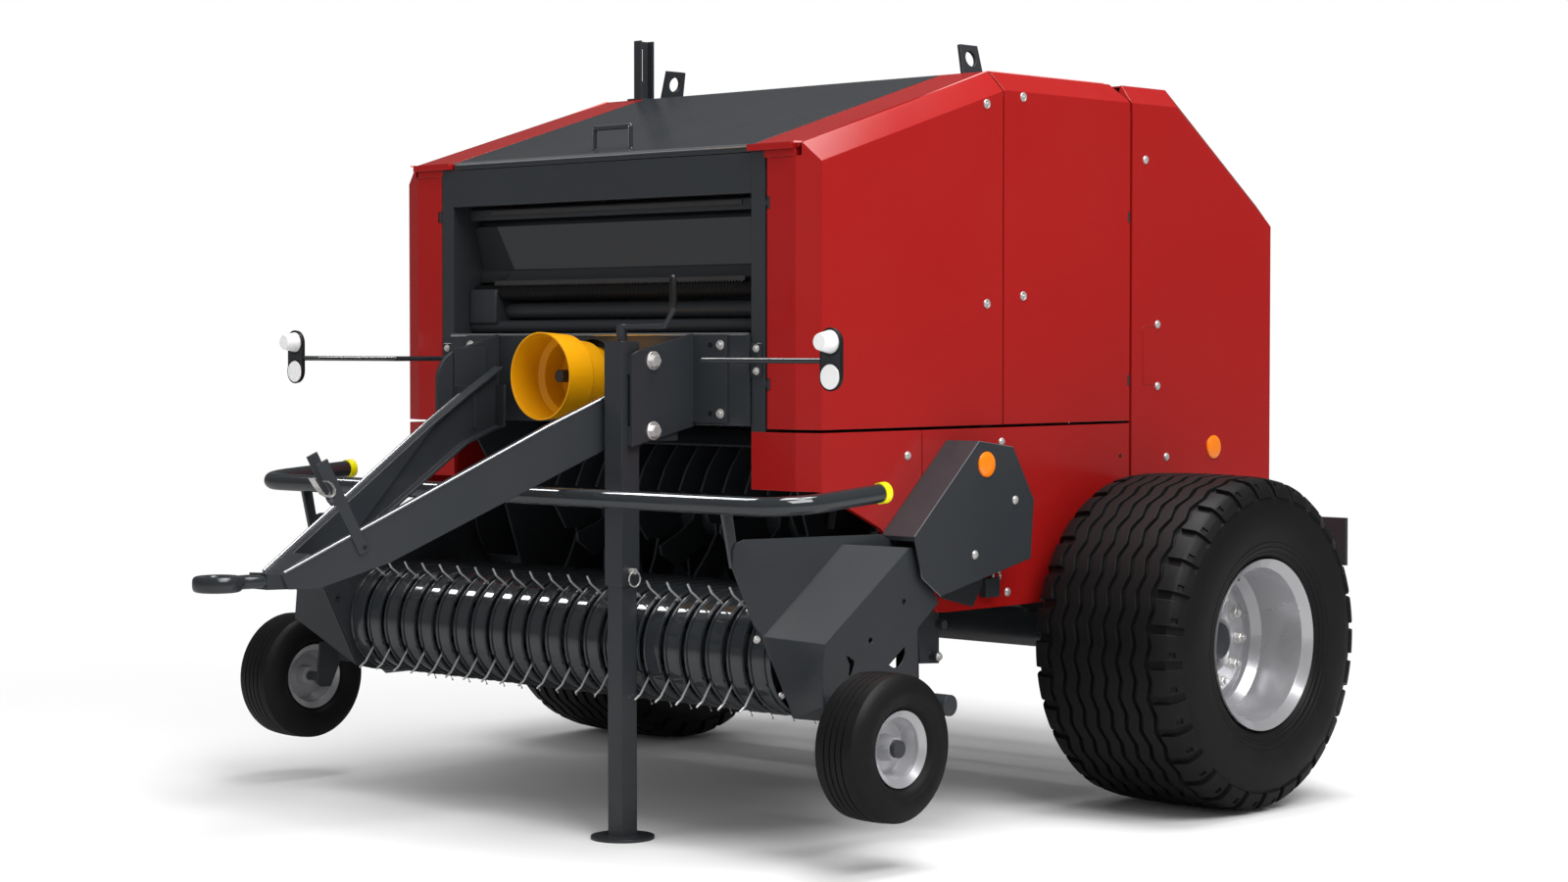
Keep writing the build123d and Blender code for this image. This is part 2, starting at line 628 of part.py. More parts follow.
def axle():
    """Axle beam with stub axles, hub flanges and their bolts' circle."""
    top = AXLE_Z + AXLE_DROP
    half = BODY_HALF + 14
    beam = block(-AXLE_SIZE / 2, AXLE_SIZE / 2, -half, half, top - AXLE_SIZE, top)
    for side in SIDES:
        disc_y = WHEEL_Y + RIM_DISH
        beam = beam + rod((0, side * half, AXLE_Z), (0, side * (disc_y + 34), AXLE_Z), AXLE_STUB_R)
        beam = beam + rod((0, side * half, AXLE_Z), (0, side * (half + 30), AXLE_Z), 58)
    return [beam]


# ---- drawbar ---------------------------------------------------------------
def drawbar():
    """Two channel beams that meet at the nose, with end plates for the brackets."""
    angle = math.atan(BEAM_SPREAD)
    stretch = 1 / math.cos(angle)

    def along(point, inset=0.0):
        return ((BEAM_FRONT_X - point[0]) * stretch, point[1] + inset)

    def placed(shape):
        # local x runs back along the beam, local y points outward
        turn = Rot(0, 0, -math.degrees(angle))
        return Pos(BEAM_FRONT_X, BEAM_FRONT_Y, 0) * turn * mirror(shape, about=Plane.YZ)

    outline = [along(point) for point in BEAM_TOP + BEAM_LOW]
    inner = [along(point, -SHEET_T) for point in BEAM_TOP[1:]] + [along(p, SHEET_T) for p in BEAM_LOW[:3]]
    beam = placed(plate_xz(outline, -BEAM_FLANGE, 0) - plate_xz(inner, -BEAM_FLANGE - 1, -BEAM_T))
    beam_y = BEAM_FRONT_Y + BEAM_SPREAD * (BEAM_FRONT_X - 1335)
    end = block(1335, 1452, BRACKET_Y - 8, BRACKET_Y, 1040, 1285)
    for x in (1335, 1444):
        end = end + block(x, x + 8, beam_y - 50, BRACKET_Y, 1062, 1180)
    half = beam + end
    nose = [(2349, 688), (2409, 690), (2409, 730), (2369, 727), (2280, 772), (2230, 755), (2274, 687)]
    nose = plate_xz(nose, -BEAM_FRONT_Y + 4, BEAM_FRONT_Y - 4)
    foot_x, foot_z = along(CRADLE_FOOT)
    cradle = placed(Pos(foot_x, 0, foot_z) * Rot(0, -CRADLE_LEAN, 0) * shaft_cradle())
    return [half + mirror(half, about=Plane.XZ) + nose + cradle]


def shaft_cradle():
    """Upright strap with a hook for the drive shaft, standing on its lower end."""
    half = CRADLE_W / 2
    strap = block(-half, half, 0, CRADLE_T, 0, CRADLE_H)
    low, high, t = CRADLE_H * 0.54, CRADLE_H * 1.07, CRADLE_T
    deep = CRADLE_DEEP
    outside = [(0, low + 28), (0, low + 12), (-12, low), (12 - deep, low), (-deep, low + 12), (-deep, high)]
    inside = [(t - deep, high), (t - deep, low + 14), (15 - deep, low + t), (-15, low + t), (-t, low + 14)]
    hook = plate_yz(outside + inside + [(-t, low + 28)], -half, half)
    return strap + hook


def drawbar_eye():
    """Hitch eye: ring with a neck that is bolted to the nose."""
    ring = Pos(EYE_X, 0, EYE_Z) * Cylinder(EYE_R, EYE_T)
    neck = [
        (2409, -36),
        (2440, -36),
        (2475, -28),
        (2500, -34),
        (2500, 34),
        (2475, 28),
        (2440, 36),
        (2409, 36),
    ]
    eye = ring + plate_xy(neck, EYE_Z - EYE_T / 2 + 3, EYE_Z + EYE_T / 2 - 3)
    return [eye - Pos(EYE_X, 0, EYE_Z) * Cylinder(EYE_BORE_R, EYE_T + 2)]


def drawbar_brackets():
    """Brackets between the cross panel and the drawbar's end plates."""
    outer = BRACKET_Y + BRACKET_T
    front = BRACKET_FRONT_X
    outline = [(CROSS_X, 1077), (front, 1028), (front, 1267), (front - 21, 1277), (CROSS_X, 1323)]
    left = plate_xz(outline, BRACKET_Y, outer)
    flange = WALL_IN - 74
    left = left + block(CROSS_X, CROSS_X + 8, BRACKET_Y, flange, 1088, 1318)
    rounded = [(CROSS_X, 1077), (front, 1028)] + arc_points(front - 90, 1190, 90, 0, 75, 6) + [(CROSS_X, 1323)]
    right = plate_xz(rounded, -outer, -BRACKET_Y)
    right = right + block(CROSS_X, CROSS_X + 8, -flange, -BRACKET_Y, 1088, 1318)
    return [left, right]


def gearbox():
    """Main gearbox as one block, with its input shaft."""
    body = block(1000, GEARBOX_X, -130, 130, PTO_Z - 100, PTO_Z + 95)
    body = body + rod((GEARBOX_X, 0, PTO_Z), (GEARBOX_X + 30, 0, PTO_Z), 48)
    body = body + rod((GEARBOX_X, 0, PTO_Z), (PTO_SHAFT_X, 0, PTO_Z), PTO_SHAFT_R)
    body = body + block(1050, 1100, -WALL_IN, WALL_IN, PTO_Z - 30, PTO_Z + 20)
    return [body]


def pto_guard():
    """Yellow bell guard around the input shaft."""
    outside = [(GEARBOX_X, 78), (1290, 80), (1313, 94), (1370, 100), (1384, 113), (1475, 119)]
    inside = [(x, r - 4) for x, r in reversed(outside)]
    return [turned(outside + inside, "x", (0, 0, PTO_Z))]


# ---- parking jack ----------------------------------------------------------
def square_tube(x, y, size, wall, z0, z1):
    """Upright square tube."""
    half = size / 2
    outer = block(x - half, x + half, y - half, y + half, z0, z1)
    half = half - wall
    return outer - block(x - half, x + half, y - half, y + half, z0 - 1, z1 + 1)


def jack_tube():
    """Outer tube of the jack, with cap, crank and locking pin."""
    tube = square_tube(JACK_X, JACK_Y, JACK_TUBE, JACK_WALL, JACK_LOW_Z, JACK_TOP_Z)
    half = JACK_TUBE / 2
    tube = tube + block(JACK_X - half, JACK_X + half, JACK_Y - half, JACK_Y + half, JACK_TOP_Z, JACK_TOP_Z + 6)
    for z in (1055, 1240):
        tube = tube + block(JACK_X - half, BRACKET_FRONT_X, JACK_Y + half, BRACKET_Y, z - 25, z + 25)
    tube = tube + rod((JACK_X, JACK_Y, JACK_TOP_Z), (JACK_X, JACK_Y, 1346), 14)
    crank = [(JACK_X, JACK_Y, 1338), (JACK_X, 503, 1340), (JACK_X, 532, 1380), (JACK_X, 532, 1465)]
    for start, end in zip(crank, crank[1:]):
        tube = tube + rod(start, end, 7) + Pos(*end) * Sphere(7)
    return [tube]


def jack_leg():
    """Sliding inner leg with its round foot."""
    size = JACK_TUBE - 2 * JACK_WALL - 2 * RUN_GAP
    leg = square_tube(JACK_X, JACK_Y, size, 4, FOOT_T, 900)
    foot = Pos(JACK_X, JACK_Y, 0) * Cylinder(FOOT_R, FOOT_T, align=(Align.CENTER, Align.CENTER, Align.MIN))
    return [leg + foot]


# ---- lamps, lugs, hose holder ----------------------------------------------
def marker_arms():
    """Marker lamp arms: base plate, bent rod and pod plate."""
    y_base = WALL_IN + 21
    base = block(FRONT_X, FRONT_X + 5, y_base - 20, y_base + 20, LAMP_Z - 48, LAMP_Z + 40)
    z = LAMP_Z - 4
    rods = rod((FRONT_X, y_base, z), (LAMP_X, y_base, z), 7)
    rods = rods + rod((LAMP_X, y_base, z), (LAMP_X, LAMP_Y, z), 7) + Pos(LAMP_X, y_base, z) * Sphere(7)
    pod = Plane.YZ * (Pos(LAMP_Y, LAMP_Z) * SlotOverall(150, 64, rotation=90))
    pod = Pos(LAMP_X, 0, 0) * extrude(pod, amount=10, dir=(1, 0, 0))
    return across(base + rods + pod)


def marker_lamps():
    """White lamps on the pods: a deep one above, a flat one below."""
    lamps = []
    for drop, depth in ((43, 42), (-43, 12)):
        z = LAMP_Z + drop
        lamps = lamps + across(rod((LAMP_X + 10, LAMP_Y, z), (LAMP_X + 10 + depth, LAMP_Y, z), LAMP_R))
    return lamps


def lifting_lugs():
    """Lifting lugs on the roof, leaning inward."""
    outline = [(-LUG_W / 2, 0), (LUG_W / 2, 0), (LUG_W / 2 - 6, LUG_H), (-LUG_W / 2 + 6, LUG_H)]
    lug = plate_xz(outline, -LUG_T, 0) - rod_y(0, LUG_H - 40, -LUG_T - 1, 1, LUG_HOLE_R)
    lug = Pos(0, 0, 2.5) * Rot(LUG_LEAN, 0, 0) * lug
    foot = block(-LUG_W / 2, LUG_W / 2, -2, 50, 0, 8)
    return across(Pos(LUG_X, WALL_IN + 14, RIDGE_Z) * (lug + foot))


def hose_holder():
    """Slotted upright channel that holds the hoses, on the right roof plate."""
    outline = [(-28.5, -30), (28.5, -30), (28.5, 0), (22.5, 0), (22.5, -24), (-22.5, -24), (-22.5, 0), (-28.5, 0)]
    low = RIDGE_Z
    channel = plate_xy(outline, low, low + 182)
    channel = channel - block(-8, 8, -31, -20, low + 60, low + 160)
    foot = block(-28.5, 28.5, -60, 0, low, low + 6)
    return [Pos(478, -WALL_IN - 16, 0) * (channel + foot)]


# ---- net wrap area ---------------------------------------------------------
def net_tray():
    """Net trough under the lid and the sheet behind the front opening."""
    t = 5
    back = FRONT_X - 118
    outline = [
        (back, 1475),
        (back, 1640),
        (1090, 1700),
        (820, 1700),
        (740, 1860),
        (740 + t, 1860 + t),
        (820 + t, 1700 + t),
        (1090 + t, 1700 + t),
        (back + t, 1642),
        (back + t, 1475),
    ]
    return [plate_xz(outline, -WALL_IN, WALL_IN)]


def net_rollers():
    """Net feed rollers and the knife bar below the tray."""
    rows = ((1180, 1442, 20), (1150, 1390, 24), (1190, 1344, 18))
    rollers = [rod_y(x, z, -WALL_IN, WALL_IN, r) for x, z, r in rows]
    knife = block(1200, 1206, -WALL_IN, WALL_IN, 1650, 1680)
    return rollers + [knife]


# ---- feeding unit ----------------------------------------------------------
def feed_floor():
    """Curved floor under the rotor, auger troughs and their end plates."""
    outer = STAR_R + FEED_GAP + 4
    floor = arc_band(ROTOR_X, ROTOR_Z, outer - 4, outer, -165, -55, -WALL_IN, WALL_IN)
    pieces = [floor]
    trough = arc_band(ROTOR_X, ROTOR_Z, AUGER_R + 14, AUGER_R + 18, -200, -40, WALL_OUT, AUGER_END)
    end = rod_y(ROTOR_X, ROTOR_Z, AUGER_END, AUGER_END + END_PLATE_T, AUGER_R + 18)
    boss = rod_y(ROTOR_X, ROTOR_Z, AUGER_END, PICKUP_IN + PICKUP_T + 6, PIVOT_R)
    bore = rod_y(ROTOR_X, ROTOR_Z, AUGER_END - 1, PICKUP_IN + PICKUP_T + 7, SHAFT_R + RUN_GAP)
    hanger = [(763, 640), (763, 436), (840, 441), (852, 551), (852, 640)]
    hanger = plate_xz(hanger, AUGER_END, AUGER_END + END_PLATE_T)
    for x, z, radius in ((793, 458, 13), (768, 542, 12)):
        hanger = hanger + rod_y(x, z, AUGER_END, PICKUP_IN - 14, radius)
    return pieces + across(trough + end + boss + hanger - bore)


def feed_strippers():
    """Comb of curved plates between the rotor's stars, on one cross bar."""
    comb = arc_band(ROTOR_X, ROTOR_Z, 283, 291, 48, 62, -WALL_IN, WALL_IN, 2)
    for i in range(STAR_COUNT + 1):
        y = (i - STAR_COUNT / 2) * STAR_PITCH
        comb = comb + arc_band(ROTOR_X, ROTOR_Z, ROTOR_TUBE_R + 12, 287, 18, 125, y - 4, y + 4, 8)
    return [comb]


def feed_rotor():
    """Rotor with star plates, end shafts and side augers."""
    rotor = rod_y(0, 0, -WALL_IN + 12, WALL_IN - 12, ROTOR_TUBE_R)
    rotor = rotor + rod_y(0, 0, -PICKUP_IN, PICKUP_IN, SHAFT_R)
    for i in range(STAR_COUNT):
        y = (i - (STAR_COUNT - 1) / 2) * STAR_PITCH
        star = plate_xz(star_outline(), y - STAR_T / 2, y + STAR_T / 2)
        rotor = rotor + Rot(0, i * 24, 0) * star
    for side in SIDES:
        rotor = rotor + auger_flight(side)
    return [Pos(ROTOR_X, 0, ROTOR_Z) * rotor]


def star_outline():
    """Four hooked fingers around a hub."""
    outline = []
    for quarter in range(4):
        base = quarter * 90
        for radius, angle in ((95, 0), (200, 12), (STAR_R, 30), (STAR_R - 4, 36), (150, 40), (95, 52)):
            outline.append(polar(0, 0, radius, base + angle))
    return outline


def auger_flight(side):
    """Flat flight sectors stepped round the end shaft as a screw."""
    steps = 8
    length = AUGER_END - WALL_OUT - 16
    flight = None
    for i in range(steps):
        y = WALL_OUT + 8 + length * (i + 0.5) / steps
        start = side * i * 360 / steps
        half = length / steps / 2 + 2
        sector = [polar(0, 0, SHAFT_R - 2, start), polar(0, 0, AUGER_R, start)]
        sector = sector + [polar(0, 0, AUGER_R, start + 22), polar(0, 0, AUGER_R, start + 45)]
        sector = sector + [polar(0, 0, SHAFT_R - 2, start + 45)]
        lo, hi = sorted((side * (y - half), side * (y + half)))
        piece = plate_xz(sector, lo, hi)
        flight = piece if flight is None else flight + piece
    return flight


# ---- tailgate --------------------------------------------------------------
def tail_half(inset, y_out):
    """Left half of the tailgate's outer form."""
    outline = roof_strip(BACK_X + inset, SPLIT_X - 6, inset, inset)
    top = outline[: len(outline) // 2]
    low = TAIL_LOW_Z - (50 if inset else 0)
    rear = [(SPLIT_X - 6 + (30 if inset else 0), low), (-700 + inset, low), (BACK_X + inset, 760)]
    body = plate_xz(top + rear, 0, y_out)
    edges = body.edges().filter_by(lambda e: abs(e.center().Y - y_out) < 0.1)
    edges = edges.filter_by(lambda e: e.center().Z > 1750 and abs(e.tangent_at(0).X) > 0.5)
    return chamfer(edges, FACET - inset * (2 - math.sqrt(2)))


def tailgate_sides():
    """Outer side panels of the tailgate, folded over at the roof."""
    shell = tail_half(0, BODY_HALF) - tail_half(PANEL_T, BODY_HALF - PANEL_T)
    side = shell & block(BACK_X, SPLIT_X, CAP_EDGE_Y, BODY_HALF, TAIL_LOW_Z, RIDGE_Z + 1)
    side = side - roof_notch()
    keep = block(BACK_X, SPLIT_X, CAP_EDGE_Y, BODY_HALF - PANEL_T, TAIL_LOW_Z - 1, ROOF_REAR_Z - 40)
    side = side - keep
    return across(side)


def tailgate_back():
    """Roof, rear slope and rear wall of the tailgate between its side panels."""
    t = 6
    stations = [(-110, RIDGE_Z), (ROOF_REAR_X, RIDGE_Z), (BACK_X, ROOF_REAR_Z), (BACK_X, 1150)]
    inner = [(-110, RIDGE_Z - t), (ROOF_REAR_X + 2, RIDGE_Z - t), (BACK_X + t, ROOF_REAR_Z - 4), (BACK_X + t, 1150)]
    back = plate_xz(stations + inner[::-1], -CAP_EDGE_Y, CAP_EDGE_Y)
    rear = block(BACK_X, BACK_X + t, -(BODY_HALF - PANEL_T), BODY_HALF - PANEL_T, 1150, ROOF_REAR_Z - 50)
    low = block(BACK_X, BACK_X + 60, -(BODY_HALF - PANEL_T), BODY_HALF - PANEL_T, 770, 850)
    low = low - block(BACK_X + t, BACK_X + 61, -(BODY_HALF - PANEL_T), BODY_HALF - PANEL_T, 776, 844)
    return [back + rear, low]


def tailgate_walls():
    """Chamber walls of the tailgate, with hinge arms and chain guides."""
    outline = [
        (SPLIT_X - 6, TAIL_LOW_Z),
        (SPLIT_X - 6, TAIL_HINGE_Z - 60),
        (-160, RIDGE_Z - 6),
        (ROOF_REAR_X + 2, RIDGE_Z - 6),
        (BACK_X + 6, ROOF_REAR_Z - 4),
        (BACK_X + 6, 776),
        (-700, TAIL_LOW_Z),
    ]
    wall = plate_xz(outline, WALL_IN, WALL_OUT)
    x, z = TAIL_HINGE_X, TAIL_HINGE_Z
    arm = [(-300, z - 20), (-300, z - 110), (-100, z - 70), (x, z - TAIL_BOSS_R), (x, z + TAIL_BOSS_R)]
    arm = arm + [(-120, z + 20)]
    arm = plate_xz(arm, WALL_OUT + 2, WALL_OUT + 14)
    arm = arm + rod_y(x, z, WALL_OUT + 2, WALL_OUT + 14, TAIL_BOSS_R)
    arm = arm - rod_y(x, z, WALL_OUT + 1, WALL_OUT + 15, TAIL_PIN_R + RUN_GAP)
    spacer = block(-300, -130, WALL_OUT, WALL_OUT + 2, z - 75, z - 20)
    mid = CHAMBER_R + SLAT_R
    guide = arc_band(SPLIT_X, CHAMBER_Z, mid - 8, mid + 8, 100, 258, WALL_IN - GUIDE_W, WALL_IN, 16)
    wall = wall - block(BACK_X, BACK_X + 60, WALL_IN - 1, WALL_OUT + 1, 770, 850)
    return across(wall + arm + spacer + guide)


def conveyor_loop(radius_in, radius_out):
    """Face of the conveyor's loop: two arcs about the chamber, joined round."""
    start, end = 99.0, 261.0
    middle = (radius_in + radius_out) / 2
    half = (radius_out - radius_in) / 2
    band = Circle(radius_out) - Circle(radius_in)
    wedge = Polygon((0, 0), *[polar(0, 0, radius_out * 1.6, start + (end - start) * i / 6) for i in range(7)], align=None)
    face = band & wedge
    for angle in (start, end):
        face = face + Pos(*polar(0, 0, middle, angle)) * Circle(half)
    return face


def slat_conveyor():
    """Slat chain of the tailgate as one fixed loop with its slats."""
    inner_run = CHAMBER_R + SLAT_R
    half = CHAIN_H / 2
    ring = conveyor_loop(inner_run - half, CHAIN_RAD + half) - conveyor_loop(inner_run + half, CHAIN_RAD - half)
    chain = extrude(Plane.XZ * ring, amount=CHAIN_W, dir=(0, 1, 0))
    y_in = WALL_IN - GUIDE_W - CHAIN_W
    loop = Pos(0, y_in, 0) * chain + Pos(0, -y_in - CHAIN_W, 0) * chain
    start, end = 99.0, 261.0
    for radius in (inner_run, CHAIN_RAD):
        count = round(math.radians(end - start) * radius / SLAT_PITCH)
        for i in range(count + 1):
            x, z = polar(0, 0, radius, start + (end - start) * i / count)
            loop = loop + rod_y(x, z, -y_in - 2, y_in + 2, SLAT_R)
    return [Pos(SPLIT_X, 0, CHAMBER_Z) * loop]


def light_board():
    """Rear light board on two arms."""
    board = block(LIGHT_BOARD_X, LIGHT_BOARD_X + 12, -1030, 1030, 620, 765)
    for side in SIDES:
        y0, y1 = sorted((side * 560, side * 600))
        board = board + block(LIGHT_BOARD_X + 12, BACK_X, y0, y1, 780 - 90, 750)
        board = board + block(BACK_X - 8, BACK_X, y0, y1, 690, 850)
    return [board]


# ---- wheels ----------------------------------------------------------------
def main_tyre():
    """Wide flotation tyre without its tread blocks."""
    w = TYRE_W / 2
    profile = [
        (-w * 0.78, RIM_R + 4),
        (-w * 0.88, RIM_FLANGE_R + 6),
        (-w, 300),
        (-w, 372),
        (-w * 0.94, 425),
        (-w * 0.78, TYRE_R - 6),
        (-w * 0.4, TYRE_R),
        (w * 0.4, TYRE_R),
        (w * 0.78, TYRE_R - 6),
        (w * 0.94, 425),
        (w, 372),
        (w, 300),
        (w * 0.88, RIM_FLANGE_R + 6),
        (w * 0.78, RIM_R + 4),
        (0, RIM_R + 4),
    ]
    return turned(profile, "y")


def main_rim():
    """Deeply dished wheel: barrel with flanges, disc, and hub bore."""
    w = TYRE_W / 2
    barrel = [
        (-w * 0.92, RIM_FLANGE_R),
        (-w * 0.89, RIM_FLANGE_R),
        (-w * 0.79, RIM_R + 3.5),
        (w * 0.79, RIM_R + 3.5),
        (w * 0.89, RIM_FLANGE_R),
        (w * 0.92, RIM_FLANGE_R),
        (w * 0.83, RIM_R - 4),
        (w * 0.3, RIM_R - 6),
        (w * 0.2, RIM_R - 26),
        (-w * 0.2, RIM_R - 26),
        (-w * 0.3, RIM_R - 6),
        (-w * 0.83, RIM_R - 4),
    ]
    disc = [
        (RIM_DISH, RIM_R - 28),
        (RIM_DISH + 12, RIM_R - 24),
        (RIM_DISH + 30, 150),
        (RIM_DISH + 30, HUB_R + 30),
        (RIM_DISH + 12, HUB_R + 18),
        (RIM_DISH + 12, AXLE_STUB_R + RUN_GAP),
        (RIM_DISH - 20, AXLE_STUB_R + RUN_GAP),
        (RIM_DISH - 20, HUB_R + 6),
        (RIM_DISH, HUB_R + 10),
        (RIM_DISH + 18, HUB_R + 34),
        (RIM_DISH + 18, 150),
    ]
    return turned(barrel, "y") + turned(disc, "y")


def gauge_tyre():
    """Small pickup wheel's tyre."""
    w = GAUGE_W / 2
    profile = [
        (-w * 0.62, GAUGE_RIM_R - 12),
        (-w * 0.8, GAUGE_RIM_R + 8),
        (-w, 138),
        (-w * 0.86, 168),
        (-w * 0.5, GAUGE_R - 2),
        (0, GAUGE_R),
        (w * 0.5, GAUGE_R - 2),
        (w * 0.86, 168),
        (w, 138),
        (w * 0.8, GAUGE_RIM_R + 8),
        (w * 0.62, GAUGE_RIM_R - 12),
    ]
    return turned(profile, "y")


def gauge_rim():
    """Small pickup wheel's rim with its bore."""
    w = GAUGE_W / 2
    bore = GAUGE_PIN_R + RUN_GAP
    bead = GAUGE_RIM_R - 12.5
    profile = [
        (-w * 0.55, bore),
        (-w * 0.55, 26),
        (-10, 30),
        (-10, 66),
        (-w * 0.5, bead - 6),
        (-w * 0.64, bead - 5),
        (-w * 0.8, GAUGE_RIM_R),
        (-w * 0.745, GAUGE_RIM_R),
        (-w * 0.62, bead),
        (w * 0.62, bead),
        (w * 0.745, GAUGE_RIM_R),
        (w * 0.8, GAUGE_RIM_R),
        (w * 0.64, bead - 5),
        (w * 0.5, bead - 6),
        (6, 66),
        (6, 34),
        (w * 0.55, 28),
        (w * 0.55, bore),
    ]
    return turned(profile, "y")


# ---- pickup ----------------------------------------------------------------
def pickup_sides():
    """Inner plate, tapered side housing and pivot ring of each pickup side."""
    inner = [
        (1051, 799),
        (1561, 810),
        (1590, 802),
        (1601, 784),
        (1601, 739),
        (1525, 594),
        (1496, 564),
        (1410, 404),
        (1377, 347),
        (1267, 330),
        (985, 318),
        (920, 318),
        (895, 340),
        (895, 400),
        (900, 600),
        (780, 742),
        (780, 858),
        (850, 850),
        (1000, 775),
    ]
    plate = plate_xz(inner, PICKUP_IN, PICKUP_IN + PICKUP_T)
    plate = plate + rod_y(ROTOR_X, ROTOR_Z, PICKUP_IN, PICKUP_IN + PICKUP_T, PIVOT_R + 18)
    plate = plate - rod_y(ROTOR_X, ROTOR_Z, PICKUP_IN - 1, PICKUP_IN + PICKUP_T + 1, PIVOT_R + RUN_GAP)
    plate = plate - rod_y(CROSS_TUBE_X, CROSS_TUBE_Z, PICKUP_IN - 1, PICKUP_IN + 9, CROSS_TUBE_R + RUN_GAP)
    near = [(1199, 780), (1496, 564), (1410, 404), (1377, 347), (1267, 330), (985, 330)]
    near = near + [(985, 552), (905, 620), (1012, 765)]
    far = [(1012, 765), (1337, 537), (1350, 462), (1345, 380), (1267, 318), (979, 318)]
    far = far + [(979, 552), (894, 615), (1000, 765)]

    def tapered(shrink, start, end):
        ends = []
        for y, points in ((start, near), (end, far)):
            face = Polygon(*points, align=None)
            if shrink:
                face = offset(face, -shrink, kind=Kind.INTERSECTION)
            ends.append(Pos(0, y, 0) * (Plane.XZ * face))
        return loft(ends, ruled=True)

    inside = PICKUP_IN + PICKUP_T
    housing = tapered(0, inside, PICKUP_OUT) - tapered(HOUSING_T, inside, PICKUP_OUT - HOUSING_T)
    # a hole behind each opening of the outer face, where a look through it goes on
    for outline in HOUSING_OPENINGS:
        housing = housing - plate_xz(outline, PICKUP_OUT - HOUSING_T - 1, PICKUP_OUT + 1)
        behind = [(x - 79, z - 11) for x, z in outline]
        plate = plate - plate_xz(behind, PICKUP_IN - 1, inside + 1)
    side = plate + housing
    side = side - rod_y(REEL_X, REEL_Z, PICKUP_IN - 1, PICKUP_IN + 30, REEL_SHAFT_R + RUN_GAP)
    return across(side)


def stripper_bands():
    """Bent strips between the tine slots, round the front of the reel."""
    def round_front(radius, reach):
        return Circle(radius) + Pos(-reach / 2, 0) * Rectangle(reach, 2 * radius)

    face = round_front(BAND_R, BAND_REACH) - round_front(BAND_R - BAND_T, BAND_REACH + 10)
    face = face - Pos(-BAND_REACH, -BAND_R) * Rectangle(2 * BAND_SHORTER, BAND_R)
    bands = []
    for i in range(TINES_PER_ROW + 1):
        y = (i - TINES_PER_ROW / 2) * TINE_PITCH
        low, high = y - BAND_W / 2, y + BAND_W / 2
        if i == 0:
            low = -PICKUP_IN
        if i == TINES_PER_ROW:
            high = PICKUP_IN
        strip = extrude(Plane.XZ * face, amount=high - low, dir=(0, 1, 0))
        bands.append(Pos(REEL_X, low, REEL_Z) * strip)
    return bands


def pickup_beam():
    """Back channel of the pickup that holds the bands, and the cross tube."""
    top = REEL_Z + BAND_R - BAND_T
    low = REEL_Z - BAND_R + BAND_T
    back = REEL_X - BAND_REACH - 22
    outline = [
        (back, top),
        (back + 40, top),
        (back + 40, top - 4),
        (back + 4, top - 4),
        (back + 4, low + 4),
        (back + 75, low + 4),
        (back + 75, low),
        (back, low),
    ]
    channel = plate_xz(outline, -PICKUP_IN, PICKUP_IN)
    tube = rod_y(CROSS_TUBE_X, CROSS_TUBE_Z, -CROSS_TUBE_HALF, CROSS_TUBE_HALF, CROSS_TUBE_R)
    for y in (-500, 500):
        channel = channel + block(CROSS_TUBE_X, back + 2, y - 5, y + 5, CROSS_TUBE_Z - 20, CROSS_TUBE_Z + 60)
    return [channel + tube]


def tine_outline():
    """One tine: foot on its bar, arm that trails, short radial tip."""
    foot = BAR_MID_R + BAR_SIZE / 2
    half = TINE_T / 2
    lean = TINE_LEAN
    return [
        (foot, -2 * TINE_T),
        (foot, 2 * TINE_T),
        (foot + 4, 2 * TINE_T),
        (foot + 4, half),
        (TINE_KINK_R, half - lean),
        (TINE_TIP_R, half - 1 - lean),
        (TINE_TIP_R, 1 - half - lean),
        (TINE_KINK_R, -half - lean),
        (foot + 4, -half),
        (foot + 4, -2 * TINE_T),
    ]


def pickup_tines():
    """All spring tines, row by row."""
    tines = []
    for angle in ROW_ANGLES:
        for i in range(TINES_PER_ROW):
            y = (i - (TINES_PER_ROW - 1) / 2) * TINE_PITCH
            tine = plate_xz(tine_outline(), y - TINE_T / 2, y + TINE_T / 2)
            tines.append(Pos(REEL_X, 0, REEL_Z) * Rot(0, -angle, 0) * tine)
    return tines


def pickup_reel():
    """Reel shaft with its discs and square tine bars."""
    half = TINE_PITCH * TINES_PER_ROW / 2
    reel = rod_y(0, 0, -PICKUP_IN - 4, PICKUP_IN + 4, REEL_SHAFT_R)
    reel = reel + rod_y(0, 0, -half, half, 42)
    for y in (-half - 8, -3.5 * TINE_PITCH, 3.5 * TINE_PITCH, half):
        reel = reel + rod_y(0, 0, y, y + 8, DISC_R)
    lo = BAR_MID_R - BAR_SIZE / 2
    for angle in ROW_ANGLES:
        bar = block(lo, lo + BAR_SIZE, -half, half, -BAR_SIZE / 2, BAR_SIZE / 2)
        reel = reel + Rot(0, -angle, 0) * bar
    return [Pos(REEL_X, 0, REEL_Z) * reel]


def guard_bar():
    """Bent tube in front of the pickup, on flat straps from the side plates."""
    points = [
        (GUARD_END_X, -GUARD_HALF, GUARD_END_Z),
        (GUARD_X, -GUARD_HALF, GUARD_Z),
        (GUARD_X, GUARD_HALF, GUARD_Z),
        (GUARD_END_X, GUARD_HALF, GUARD_END_Z),
    ]
    path = FilletPolyline(*points, radius=GUARD_CORNER)
    section = Plane(origin=points[0], z_dir=Vector(points[1]) - Vector(points[0])) * Circle(GUARD_R)
    bar = sweep(section, path)
    for side in SIDES:
        y0, y1 = sorted((side * PICKUP_IN, side * (PICKUP_IN - 10)))
        strap = [(1572, 740), (1600, 740), (1634, 884), (1602, 890)]
        bar = bar + plate_xz(strap, y0, y1)
    return [bar]


